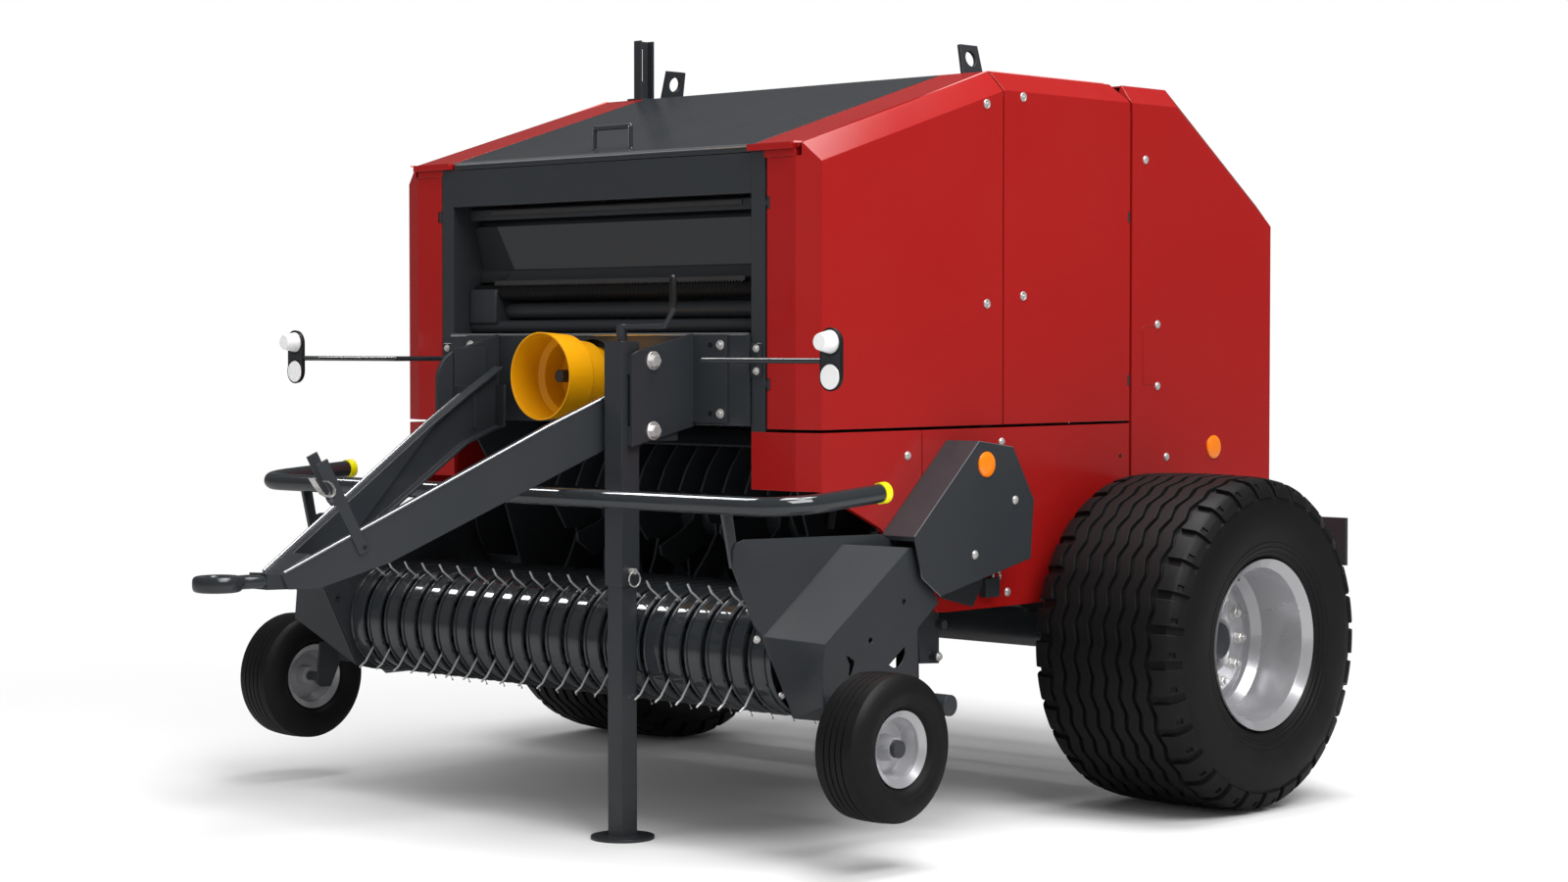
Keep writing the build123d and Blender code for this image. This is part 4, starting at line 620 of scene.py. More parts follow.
@dataclass(frozen=True)
class Studio:
    """Camera, pale floor, white surroundings and lamps; lengths in metres, angles in degrees.

    Attributes:
        lens: focal length in millimetres.
        place: where the camera stands.
        azimuth: the camera's turn about the object.
        pitch: how far the camera looks down.
        white_from: distances over which the floor turns from shaded to plain white.
        soft: strength of the surroundings on plain surfaces.
        dim: strength of the surroundings in reflections.
        floor_tone: grey of the floor.
        floor_mirrored: grey of the floor in reflections.
    """

    lens: float = 67.14
    sensor: float = 36.0
    clip_end: float = 400.0
    place: Point = (5.9222, 5.8700, 1.2934)
    azimuth: float = 43.188
    pitch: float = 1.891
    floor_half: float = 60.0
    white_from: Flat = (2.4, 4.6)
    soft: float = 0.5
    dim: float = 0.1
    floor_tone: float = 0.81
    floor_mirrored: float = 0.34
    lamps: tuple[Lamp, ...] = (
        Lamp("key", (1.5, 5.5, 6.5), (0.0, 0.0, 0.9), (5.0, 4.0), 440.0),
        Lamp("front", (7.5, -1.0, 3.2), (0.8, 0.0, 0.9), (4.0, 4.0), 80.0, mirrored=False),
        Lamp("back", (-6.0, -4.0, 5.0), (0.0, 0.0, 1.0), (5.0, 4.0), 160.0, mirrored=False),
        Lamp("top", (-0.6, 1.0, 7.5), (0.0, 0.0, 0.0), (3.5, 3.5), 380.0),
        Lamp("low_card", (1.25, -3.6, 4.2), (0.45, -0.1, 0.6), (0.55, 1.7), 60.0, card=True),
        Lamp("wide_card", (0.35, -3.6, 5.9), (0.3, 0.0, 1.5), (1.6, 1.6), 110.0, card=True),
    )

    def build(self, mirrors: bpy.types.Collection) -> None:
        """Sets the whole studio up."""
        self.camera()
        self.world()
        self.floor()
        for lamp in self.lamps:
            lamp.build(mirrors)

    def camera(self) -> None:
        """The camera, a little above the ground at the front left."""
        data = bpy.data.cameras.new("camera")
        data.lens, data.sensor_width, data.clip_end = self.lens, self.sensor, self.clip_end
        camera = bpy.data.objects.new("camera", data)
        turn, pitch = math.radians(self.azimuth), math.radians(self.pitch)
        flat = math.cos(pitch)
        look = Vector((-math.cos(turn) * flat, -math.sin(turn) * flat, -math.sin(pitch)))
        camera.location = self.place
        camera.rotation_mode = "QUATERNION"
        camera.rotation_quaternion = look.to_track_quat("-Z", "Y")
        scene = bpy.context.scene
        scene.collection.objects.link(camera)
        scene.camera = camera
        scene.view_settings.view_transform = "Standard"

    def world(self) -> None:
        """White to the camera, dim in reflections, plain soft light on everything."""
        world = bpy.data.worlds.new("studio")
        graph = Graph.of(world)
        path = graph.add("LightPath").outputs
        seen = graph.math("MAXIMUM", path["Is Camera Ray"], path["Is Transmission Ray"])
        soft, dim, white = (graph.add("Background", shade((255, 255, 255)), strength)
                            for strength in (self.soft, self.dim, 1.0))
        lit = graph.blend(path["Is Glossy Ray"], soft, dim)
        graph.add("OutputWorld", graph.blend(seen, lit, white).outputs[0])
        bpy.context.scene.world = world

    def floor(self) -> None:
        """A pale floor: shadow near the object, plain white further out, dim in reflections."""
        draft = Draft()
        half = self.floor_half
        draft.face(draft.corners([Vector((x, y, 0.0)) for x, y in
                                  ((-half, -half), (half, -half), (half, half), (-half, half))]))
        data = bpy.data.meshes.new("floor")
        draft.mesh.to_mesh(data)
        draft.mesh.free()
        floor = bpy.data.objects.new("floor", data)
        bpy.context.scene.collection.objects.link(floor)
        material = bpy.data.materials.new("floor")
        graph = Graph.of(material)
        far = graph.ramp(graph.vector("LENGTH", graph.place), *self.white_from)
        path = graph.add("LightPath").outputs
        pale, dark = (graph.add("BsdfDiffuse", (tone, tone, tone, 1.0))
                      for tone in (self.floor_tone, self.floor_mirrored))
        diffuse = graph.blend(path["Is Glossy Ray"], pale, dark)
        glow = graph.add("Emission", shade((255, 255, 255)), 1.0)
        seen = graph.math("MULTIPLY", far, path["Is Camera Ray"])
        graph.add("OutputMaterial", graph.blend(seen, diffuse, glow).outputs[0])
        data.materials.append(material)


# ---- wheels
def tyre_row(centre: Vector, side: float, turn: float, profile: Profile) -> list[Vector]:
    """A tyre's section at one angle, from (distance from its middle, radius) in millimetres."""
    out = spoke(turn)
    return [centre + out * (r / MILLI) + Vector((0, side * y / MILLI, 0)) for y, r in profile]


class Tread(Enum):
    """What the shoulder of a main tyre shows at one angle."""

    SLOT = "slot"
    LUG = "lug"
    RECESS = "recess"


@dataclass(frozen=True)
class MainTyre:
    """Wide flotation tyre with zigzag ribs and shoulder lugs.

    Profiles are (distance from the tyre's middle, radius) in millimetres.

    Attributes:
        periods: lugs round the tyre on each shoulder.
        phase: angle of one slot's middle, in degrees from +X towards +Z.
        zigzag: peak to peak swing of the ribs.
        grooves: middles of the grooves on one half.
        groove_w: groove width at the top.
        groove_d: groove depth.
        section: a groove's corners, as shares of its width and its depth.
        slot_step: how far a slot's floor lies below the last groove's.
        slot_half: half of a slot, as a share of the period.
        recess_span: start and end of a lug's recess, likewise.
        crown: outer radius in the middle.
        crown_drop: how far the outer radius falls at the shoulder.
        half: half width at which the drop is reached.
        steps: shares of the period at which the section is drawn.
    """

    periods: int = 30
    phase: float = 8.9
    zigzag: float = 13.0
    grooves: tuple[float, ...] = (23.5, 70.5, 117.5, 164.5)
    groove_w: float = 15.0
    groove_d: float = 12.5
    section: tuple[Flat, ...] = ((-0.5, 0.0), (-0.38, 1.0), (0.38, 1.0), (0.5, 0.0))
    slot_step: float = 0.4
    slot_half: float = 0.13
    recess_span: Flat = (0.21, 0.36)
    crown: float = 465.6
    crown_drop: float = 6.0
    half: float = 198.0
    lug: tuple[Flat, ...] = (
        (212, 454.5), (222.5, 446.5), (223.2, 445.8), (233.6, 432.2), (234.2, 431.2),
        (240.0, 419.0), (244.5, 409.5),
    )
    slot: tuple[Flat, ...] = (
        (209, 443), (215.5, 437), (216.0, 436.5), (223.0, 427.0), (223.5, 426.5), (229.5, 417.0),
        (234.0, 408.0),
    )
    recess: tuple[Flat, ...] = (
        (212, 454.5), (222.5, 446.5), (218.6, 442.4), (229.0, 429.0), (234.2, 431.2),
        (240.0, 419.0), (244.5, 409.5),
    )
    wall: tuple[Flat, ...] = (
        (239.0, 406.0), (243.5, 396), (248.0, 380), (249.9, 362), (249.9, 336), (248.6, 314),
        (246.2, 298), (245.2, 290), (243.6, 288.6), (243.0, 285.5), (244.2, 284.0),
        (242.5, 275.0), (240.4, 273.6), (239.8, 270.8), (240.9, 269.4), (237.0, 261.0),
        (234.4, 259.8), (233.6, 257.2), (234.2, 255.8), (228.5, 248.5), (222.5, 243.2),
        (196.0, 220.6),
    )
    steps: tuple[float, ...] = (
        0.0, 0.118, 0.148, 0.2, 0.216, 0.354, 0.37, 0.5, 0.63, 0.75, 0.852, 0.882,
    )

    def kind(self, share: float) -> Tread:
        """What a shoulder shows at a share of its period, from a slot's middle."""
        share %= 1.0
        if share < self.slot_half or share > 1 - self.slot_half:
            return Tread.SLOT
        start, end = self.recess_span
        return Tread.RECESS if start < share < end else Tread.LUG

    def top(self, y: float) -> float:
        """Outer radius across the tread."""
        return self.crown - self.crown_drop * (y / self.half) ** 2

    def shoulder(self, share: float) -> tuple[Flat, ...]:
        """Outer half of one shoulder, from the last groove down to the bead."""
        sections = {Tread.SLOT: self.slot, Tread.LUG: self.lug, Tread.RECESS: self.recess}
        return sections[self.kind(share)] + self.wall

    def row(self, share: float) -> list[Flat]:
        """The whole profile at one share of the outer shoulder's period."""
        swing = self.zigzag * (abs(share % 1.0 - 0.5) * -2 + 0.5)
        line = [(-y, r) for y, r in reversed(self.shoulder(share + 0.5))]
        for groove in sorted([-g for g in self.grooves] + list(self.grooves)):
            for across, deep in self.section:
                y = groove + swing + across * self.groove_w
                line.append((y, self.top(y) - deep * self.groove_d))
            if abs(groove) == self.grooves[-1]:
                here, edge = (share, -1) if groove > 0 else (share + 0.5, -len(self.section))
                if self.kind(here) is Tread.SLOT:
                    y, _ = line[edge]
                    line[edge] = (y, self.top(y) - self.groove_d - self.slot_step)
        return [*line, *self.shoulder(share)]

    def build(self, side: str) -> None:
        """Makes one tyre in place of the plain one."""
        centre = DATUM.axis(f"{side}_wheel_spin")
        shares = sorted({round((step + shift) % 1.0, 4)
                         for step in self.steps for shift in (0.0, 0.5)})
        rows = []
        for lug in range(self.periods):
            for share in shares:
                turn = math.radians(self.phase + (lug + share) * 360 / self.periods)
                rows.append(tyre_row(centre, SIDES[side], turn, self.row(share)))
        draft = Draft()
        draft.grid(rows, closed=True)
        tyre = draft.done(f"{side}_tyre_tread", Look.RUBBER, f"{side}_wheel", "tyre_rubber")
        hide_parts(f"{side}_tyre")


@dataclass(frozen=True)
class GaugeTyre:
    """Small smooth tyre with straight grooves; profile in millimetres."""

    steps: int = 96
    grooves: tuple[float, ...] = (-28.0, -9.3, 9.3, 28.0)
    section: tuple[Flat, ...] = ((-2.2, 0.0), (-1.6, 4.0), (1.6, 4.0), (2.2, 0.0))
    crown: float = 184.7
    crown_drop: float = 2.0
    half: tuple[Flat, ...] = (
        (56.0, 182.2), (64.5, 174.5), (69.5, 165.0), (75.0, 152.0), (77.6, 140.0), (77.0, 130.0),
        (75.6, 124.0), (74.6, 122.8), (74.0, 119.8), (71.5, 112.0), (66.0, 104.6), (62.6, 103.2),
        (48.6, 84.0),
    )

    def profile(self) -> list[Flat]:
        """The whole profile, from the inner bead over the tread to the outer bead."""
        line = [(-y, r) for y, r in reversed(self.half)]
        for groove in self.grooves:
            for shift, deep in self.section:
                y = groove + shift
                line.append((y, self.crown - self.crown_drop * (y / self.half[0][0]) ** 2 - deep))
        return [*line, *self.half]

    def build(self, side: str) -> None:
        """Makes one tyre in place of the plain one."""
        centre = DATUM.axis(f"{side}_gauge_wheel_spin")
        draft = Draft()
        draft.grid([tyre_row(centre, SIDES[side], FULL_TURN * i / self.steps, self.profile())
                    for i in range(self.steps)], closed=True)
        tyre = draft.done(f"{side}_gauge_tyre_tread", Look.RUBBER, f"{side}_gauge_wheel",
                          "tyre_rubber")
        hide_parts(f"{side}_gauge_tyre")


@dataclass(frozen=True)
class WheelDress:
    """Nuts, hub cap and valve of a main wheel, in metres.

    Attributes:
        disc: distance of the wheel disc from the wheel's middle.
        nut_ring: radius of the ring of nuts.
        nut: radius and height of a nut.
        washer: radius and height of its washer.
        stud: radius and height of the stud's end.
        cap_foot: distance of the hub cap's foot from the wheel's middle.
        cap: the hub cap's section.
        valve_turn: angle of the valve in degrees.
        valve: the valve's bends, as (radius, distance from the wheel's middle).
        stem: radius of the valve's stem and of its cap.
    """

    disc: float = 0.0525
    nut_ring: float = 0.122
    nuts: int = 10
    nut: Flat = (0.015, 0.015)
    washer: Flat = (0.019, 0.003)
    stud: Flat = (0.009, 0.008)
    cap_foot: float = 0.033
    cap: tuple[Flat, ...] = (
        (0.0, 0.0), (0.0, 0.066), (0.006, 0.066), (0.008, 0.064), (0.008, 0.058), (0.034, 0.056),
        (0.044, 0.050), (0.048, 0.040), (0.050, 0.0),
    )
    valve_turn: float = 100.0
    valve: tuple[Flat, ...] = ((0.188, 0.062), (0.182, 0.074), (0.178, 0.106), (0.1775, 0.118))
    stem: Flat = (0.0052, 0.0065)

    def build(self, side: str) -> None:
        """Adds them to one wheel."""
        body = f"{side}_wheel"
        centre, out = DATUM.axis(f"{side}_wheel_spin"), LEFT * SIDES[side]
        nuts = Draft()
        for i in range(self.nuts):
            base = centre + spoke(FULL_TURN * i / self.nuts) * self.nut_ring
            base = base + out * (self.disc - SINK)
            for sides, (radius, height), bevel in ((24, self.washer, 0.0008), (6, self.nut, 0.002),
                                                   (16, self.stud, 0.0015)):
                nuts.prism(sides, radius, base, out, height, bevel)
                base = base + out * height
        nuts.done(f"{side}_wheel_nuts", Look.ZINC, body, "silver_paint")
        cap = Draft()
        cap.turned(self.cap, centre + out * self.cap_foot, out, 48)
        cap.done(f"{side}_hub_cap", Look.DARK, body, "dark_paint")
        valve, arm = Draft(), spoke(math.radians(self.valve_turn))
        bends = [centre + arm * r + out * y for r, y in self.valve]
        valve.tube(bends[:-1], self.stem[0], 12)
        valve.tube(bends[-2:], self.stem[1], 12)
        valve.done(f"{side}_valve", Look.BLACK, body, "dark_paint")


# ---- pickup
@dataclass(frozen=True)
class Tines:
    """Round spring tines in rows on the reel, in millimetres.

    Attributes:
        rows: angles of the rows about the reel, from +X towards +Z.
        count: tines in a row.
        pitch: distance between tines.
        path: a tine's middle line as (radius, along the turn).
        wire: radius of the wire.
    """

    rows: tuple[float, ...] = (55.0, -36.0, -119.0, 145.0)
    count: int = 21
    pitch: float = 76.0
    path: tuple[Flat, ...] = (
        (138.2, -11.0), (138.2, 6.0), (140.0, 9.5), (144.5, 10.0), (149.0, 7.5), (165.0, 2.8),
        (190.0, -5.6), (196.0, -7.1), (202.0, -6.7), (218.6, -5.8),
    )
    wire: float = 2.8

    def build(self) -> None:
        """Makes every tine as one piece."""
        centre = DATUM.axis("reel_spin")
        draft = Draft()
        for angle in self.rows:
            turn = math.radians(angle)
            out, lean = spoke(turn), spoke(turn + FULL_TURN / 4)
            for i in range(self.count):
                base = centre.copy()
                base.y = (i - (self.count - 1) / 2) * self.pitch / MILLI
                draft.tube([base + out * (r / MILLI) + lean * (t / MILLI) for r, t in self.path],
                           self.wire / MILLI, 8)
        tines = draft.done("round_tines", Look.SPRING, "pickup_reel", "spring_steel")
        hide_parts("pickup_tines")


@dataclass(frozen=True)
class BandBeads:
    """Rolled edges of the pickup's stripper bands, in millimetres.

    Attributes:
        count: number of bands.
        pitch: distance between bands.
        edge: distance of a bead from its band's middle.
        bead: radius of a bead.
        radius: radius of a bead's middle line round the reel.
        ends: how far the upper and the lower leg reach back.
        steps: steps of the half circle.
    """

    count: int = 22
    pitch: float = 76.0
    edge: float = 24.5
    bead: float = 4.0
    radius: float = 151.4
    ends: Flat = (258.0, 231.0)
    steps: int = 24

    def build(self) -> None:
        """Adds a bead along both edges of every band."""
        reel, r, draft = DATUM.axis("reel_spin"), self.radius / MILLI, Draft()
        turns = [math.pi / 2 - math.pi * i / self.steps for i in range(self.steps + 1)]
        upper, lower = (FORWARD * (-reach / MILLI) for reach in self.ends)
        line = [upper + UP * r, *(spoke(turn) * r for turn in turns), lower - UP * r]
        for i in range(self.count):
            for side in (-1, 1):
                y = (i - (self.count - 1) / 2) * self.pitch + side * self.edge
                base = Vector((reel.x, y / MILLI, reel.z))
                draft.tube([base + point for point in line], self.bead / MILLI, 8)
        draft.done("band_beads", Look.GLOSS, "pickup", "dark_paint")


@dataclass(frozen=True)
class CropGuide:
    """Flared front edge of the pickup's right side plate; corners in millimetres."""

    fold: tuple[Point, ...] = ((1434, -840, 361), (1560, -840, 611))
    lip: tuple[Point, ...] = ((1614, -899, 605), (1605, -899, 587), (1591, -927, 506))
    root: tuple[Point, ...] = ((1500, -840, 640), (1420, -840, 560), (1377, -840, 347))
    sheet: float = 4.0

    def build(self) -> None:
        """Adds the flat root and the flare."""
        draft = Draft()
        flare = DATUM.path(self.fold + self.lip)
        across = (flare[1] - flare[0]).cross(flare[-1] - flare[0]).normalized()
        draft.plate(flare, across * (self.sheet / MILLI))
        draft.plate(DATUM.path(self.fold + self.root), LEFT * (self.sheet / MILLI))
        draft.done("right_crop_guide", Look.DARK, "pickup", "dark_paint", sharp=SHARP_CAD)


# ---- small fittings
class Fitting(Enum):
    """Kinds of small fitting on a face."""

    LOCK = "panel lock"
    HEX = "hex bolt"
    STUD = "round head"
    HOLE = "hole"


@dataclass(frozen=True)
class Fitted:
    """Fittings of one kind on one body; places in millimetres, mirrored to the other side.

    Attributes:
        name: name of the piece.
        body: body on the left; "{side}" stands for left or right.
        kind: what is fitted.
        places: (x, y, z) on the left side.
        radius: size of the head.
        axis: outward direction on the left side.
        sides: the sides that have them.
    """

    name: str
    body: str
    kind: Fitting
    places: tuple[Point, ...]
    radius: float
    axis: Point = (0.0, 1.0, 0.0)
    sides: tuple[str, ...] = tuple(SIDES)

    def build(self) -> None:
        """Adds the fittings, one piece a body."""
        if "{side}" in self.body:
            for side in self.sides:
                self.piece([side], f"{side}_{self.name}", self.body.format(side=side))
        else:
            self.piece(self.sides, self.name, self.body)

    def piece(self, sides: Sequence[str], name: str, body: str) -> None:
        """One piece with the fittings of some sides."""
        draft = Draft()
        x, y, z = self.axis
        for side in sides:
            for base in DATUM.path(self.places, SIDES[side]):
                self.head(draft, base, Vector((x, SIDES[side] * y, z)))
        # A hole is a flat black disc on the face: painted shade standing in for the dark opening.
        if self.kind is Fitting.HOLE:
            draft.done(name, Look.BLACK, body, "dark_paint")
        else:
            draft.done(name, Look.ZINC, body, "bare_steel")

    def head(self, draft: Draft, base: Vector, out: Vector) -> None:
        """One fitting on a face."""
        r = self.radius / MILLI
        if self.kind is Fitting.LOCK:
            draft.turned([(-SINK, 0.0), (-SINK, r), (0.002, r), (0.0034, r * 0.9),
                          (0.0034, r * 0.74), (0.0014, r * 0.68), (0.0014, r * 0.34),
                          (0.005, r * 0.3), (0.006, r * 0.2), (0.006, 0.0)], base, out, 28)
        elif self.kind is Fitting.HEX:
            draft.prism(28, r * 1.45, base - out * SINK, out, 0.004, 0.0008)
            draft.prism(6, r, base + out * 0.003, out, r * 0.75, r * 0.12)
        elif self.kind is Fitting.STUD:
            draft.turned([(-SINK, 0.0), (-SINK, r), (0.0015, r), (r * 0.42, r * 0.72),
                          (r * 0.55, r * 0.35), (r * 0.58, 0.0)], base, out, 24)
        else:
            draft.turned([(-SINK, 0.0), (-SINK, r), (0.0004, r), (0.0004, 0.0)], base, out, 20)


AHEAD = (1.0, 0.0, 0.0)
FITTINGS = (
    Fitted("front_door_locks", "{side}_front_door", Fitting.LOCK,
           ((585, 821, 1946), (583, 821, 1404)), 13),
    Fitted("rear_door_locks", "{side}_rear_door", Fitting.LOCK,
           ((427, 821, 1974), (425, 821, 1427)), 13),
    Fitted("tailgate_studs", "tailgate", Fitting.STUD,
           ((-141, 821, 1828), (-202, 821, 1352), (-203, 821, 1172), (-249, 821, 964)), 12),
    Fitted("skirt_studs", "frame", Fitting.STUD,
           ((912, 821, 999), (491, 821, 612), (518, 821, 1026), (600, 935, 874), (770, 935, 735)),
           12),
    Fitted("skirt_holes", "frame", Fitting.HOLE, ((-24, 821, 973),), 6),
    Fitted("bracket_bolts", "frame", Fitting.HEX, ((1434, 395, 1251), (1434, 395, 1068)), 17),
    Fitted("flange_bolts", "frame", Fitting.HEX, ((1290, 499, 1292), (1290, 499, 1112)), 9, AHEAD),
    Fitted("flange_holes", "frame", Fitting.HOLE, ((1290, 462, 1292), (1290, 462, 1112)), 8, AHEAD),
    Fitted("marker_bolts", "frame", Fitting.HEX, ((1277, 617, 1283), (1277, 617, 1224)), 7, AHEAD),
    Fitted("pickup_bolts", "pickup", Fitting.HEX, ((1507, 837, 557), (1418, 837, 408)), 7),
    Fitted("cradle_hole", "frame", Fitting.HOLE, ((2160, 107, 786),), 6, (0.285, 0.958, 0.0),
           ("left",)),
    Fitted("hanger_pins", "frame", Fitting.HEX, ((793, 829, 458),), 8),
)


@dataclass(frozen=True)
class Reflector:
    """Round orange reflector with its ring, on both sides; millimetres."""

    name: str
    body: str
    place: Point
    radius: float

    def build(self) -> None:
        """Adds the pair."""
        lens, ring = Draft(), Draft()
        r = self.radius / MILLI
        for sign in SIDES.values():
            base, out = DATUM.path([self.place], sign)[0], LEFT * sign
            lens.turned([(0.0, 0.0), (0.0, r * 0.97), (0.005, r * 0.95), (0.0068, r * 0.85),
                         (0.0075, r * 0.5), (0.0078, 0.0)], base, out, 48)
            ring.turned([(-SINK, r * 0.9), (-SINK, r), (0.003, r), (0.0036, r * 0.975),
                         (0.003, r * 0.9)], base, out, 48)
        lens.done(f"{self.name}_lens", Look.ORANGE, self.body, "white_lens")
        ring.done(f"{self.name}_ring", Look.ORANGE, self.body, "white_lens")


# ---- drawbar and edges
@dataclass(frozen=True)
class HitchEye:
    """Rounded casting of the hitch eye, in millimetres.

    Attributes:
        place: middle of the eye.
        outer: outer radius of the eye.
        bore: radius of its hole.
        half: half of its height.
        neck: the neck's (x, half width).
        neck_half: half of the neck's height.
        ring_power: how far the ring's section is rounded; 1 is a plain ellipse.
        neck_power: the same for the neck.
    """

    place: Point = (2531.0, 0.0, 710.0)
    outer: float = 61.0
    bore: float = 25.0
    half: float = 20.0
    neck: tuple[Flat, ...] = ((2409, 36), (2426, 35.5), (2441, 34), (2458, 30), (2475, 28),
                              (2494, 30))
    neck_half: float = 17.0
    ring_power: float = 0.62
    neck_power: float = 0.7
    ring_steps: int = 32
    neck_steps: int = 28

    def ring(self) -> list[Flat]:
        """Section of the ring, with rounded shoulders."""
        middle, width = (self.outer + self.bore) / 2, (self.outer - self.bore) / 2
        turns = [FULL_TURN * i / self.ring_steps for i in range(self.ring_steps + 1)]
        return [(along * self.half / MILLI, (middle + across * width) / MILLI)
                for across, along in (squared(turn, self.ring_power) for turn in turns)]

    def build(self) -> None:
        """Adds the casting in place of the plain one."""
        draft = Draft()
        draft.turned(self.ring(), DATUM.at(*self.place), UP, 64)
        turns = [FULL_TURN * i / self.neck_steps for i in range(self.neck_steps)]
        section = [squared(turn, self.neck_power) for turn in turns]
        draft.grid([[DATUM.at(x, across * half, self.place[2] + up * self.neck_half)
                     for across, up in section] for x, half in self.neck])
        casting = draft.done("hitch_eye_casting", Look.CAST, "frame", "dark_paint")
        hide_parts("drawbar_eye")


@dataclass(frozen=True)
class EdgeBeads:
    """Painted highlights along edges of sheet and caps, in millimetres: thin tubes in light finishes.

    Attributes:
        beams: upper outer edge of the drawbar's left beam.
        covers: front edge of the left drive cover.
        caps: crest of the roof's left cap.
        panel: upper front edge of the cross panel.
        lid: front edge of the roof lid.
        handle: outer edge of the lid's handle.
    """

    beams: tuple[Point, ...] = ((1508, 294, 1156), (1670, 246, 1081), (2169, 98.5, 828.5),
                                (2362, 41.3, 730.5))
    covers: tuple[Point, ...] = ((609, 934, 1017), (752, 934, 1036), (1016, 934, 794),
                                 (985, 934, 685), (911, 934, 634))
    caps: tuple[Point, ...] = ((1289, 762, 1811.5), (1233, 762, 1812), (512, 762, 2042.8),
                               (-15, 762, 2042.8))
    panel: tuple[Point, ...] = ((1281, -592, 1320), (1281, 592, 1320))
    lid: tuple[Point, ...] = ((1270.5, -588, 1810.5), (1270.5, 588, 1810.5))
    handle: tuple[Point, ...] = ((1212, -71.5, 1832), (1212, -71.5, 1890), (1205, -71.5, 1897),
                                 (1205, 71.5, 1897), (1212, 71.5, 1890), (1212, 71.5, 1832))
    beam_r: float = 4.2
    sheet_r: float = 4.6
    cap_r: float = 2.6
    thin_r: float = 1.5

    def build(self) -> None:
        """Adds the beads, light tubes that paint the highlights along the edges."""
        both = tuple(SIDES.values())
        frame_highlights, lid_highlights, cap_highlight_beads, cover_highlight_beads = (Draft() for _ in range(4))
        for draft, path, sides, radius, steps in (
                (frame_highlights, self.beams, both, self.beam_r, 16),
                (frame_highlights, self.panel, (1.0,), self.sheet_r, 16),
                (lid_highlights, self.lid, (1.0,), self.sheet_r, 16),
                (lid_highlights, self.handle, (1.0,), self.thin_r, 12),
                (cap_highlight_beads, self.caps, both, self.cap_r, 16),
                (cover_highlight_beads, self.covers, both, self.thin_r, 16)):
            for side in sides:
                draft.tube(DATUM.path(path, side), radius / MILLI, steps)
        # Light tubes on the drawbar, cross panel, lid and handle edges: painted highlights.
        frame_highlights.done("edge_highlight_beads", Look.SHEEN, "frame", "dark_paint")
        lid_highlights.done("lid_highlight_bead", Look.SHEEN, "roof_lid", "dark_paint")
        # Light pink tubes along the red caps' crests: a painted highlight.
        cap_highlight_beads.done("cap_highlight_beads", Look.RED_HIGHLIGHT, "frame", "red_paint")
        # Light grey tubes along the covers' front edges: a painted highlight.
        cover_highlight_beads.done("cover_highlight_beads", Look.GREY_HIGHLIGHT, "frame", "dark_paint")


# ---- net store and lamps
@dataclass(frozen=True)
class NetArea:
    """What shows behind the front opening, in millimetres.

    Attributes:
        half: half width of the opening.
        foil: section of the smooth sheet with its folded foot, as (x, z).
        knives: (x, z, tooth pitch) of the two saw-toothed strips.
        rings: number and pitch of the rubber rings on the roller.
        ring: a ring's section, as (distance, radius) in metres.
    """

    half: float = 592.0
    foil: tuple[Flat, ...] = ((1187, 1632), (1193, 1632), (1161, 1508), (1172, 1490), (1172, 1472),
                              (1166, 1472), (1166, 1488), (1154, 1506))
    knives: tuple[Point, ...] = ((1207, 1667, 9.0), (1196, 1466, 11.0))
    knife_half: float = 500.0
    knife_root: float = 10.0
    tooth: float = 7.0
    knife_sheet: float = 2.2
    rings: Flat = (70, 0.0165)
    ring: tuple[Flat, ...] = ((0.008, 0.0215), (0.010, 0.0228), (0.020, 0.0228), (0.022, 0.0215))
    roller: Point = (1180, -590, 1442)
    roller_size: Flat = (1.18, 0.0215)

    def build(self) -> None:
        """Adds the glossy sheet, serrated strips, ringed roller and drive housing."""
        foil = Draft()
        foil.plate(DATUM.wall(self.foil, -self.half), LEFT * (2 * self.half / MILLI))
        foil.done("net_sheet", Look.GLASS, "frame", "dark_paint", bevel=0.001)
        self.strips()
        self.ringed_roller()
        block = Draft()
        block.box(DATUM.at(1120, -592, 1352), DATUM.at(1215, -478, 1452))
        block.done("net_drive", Look.DARK, "frame", "dark_paint", bevel=0.006)

    def strips(self) -> None:
        """Saw-toothed strips under the header."""
        draft = Draft()
        for x, z, pitch in self.knives:
            outline = [DATUM.at(x, -self.knife_half, z + self.knife_root)]
            for i in range(int(2 * self.knife_half / pitch)):
                y = i * pitch - self.knife_half
                outline += [DATUM.at(x, y, z), DATUM.at(x, y + pitch / 2, z - self.tooth)]
            outline += [DATUM.at(x, self.knife_half, z + rise) for rise in (0, self.knife_root)]
            draft.plate(outline, FORWARD * (self.knife_sheet / MILLI))
        draft.done("net_knives", Look.STEEL, "frame", "bare_steel")

    def ringed_roller(self) -> None:
        """Rubber rings on the upper net roller."""
        count, pitch = self.rings
        length, radius = self.roller_size
        profile = [(0.0, 0.0), (0.0, radius)]
        for i in range(count):
            profile += [(i * pitch + along, r) for along, r in self.ring]
        profile += [(length, radius), (length, 0.0)]
        draft = Draft()
        draft.turned(profile, DATUM.at(*self.roller), LEFT, 24)
        draft.done("net_roller_rings", Look.RUBBER, "frame", "dark_paint")


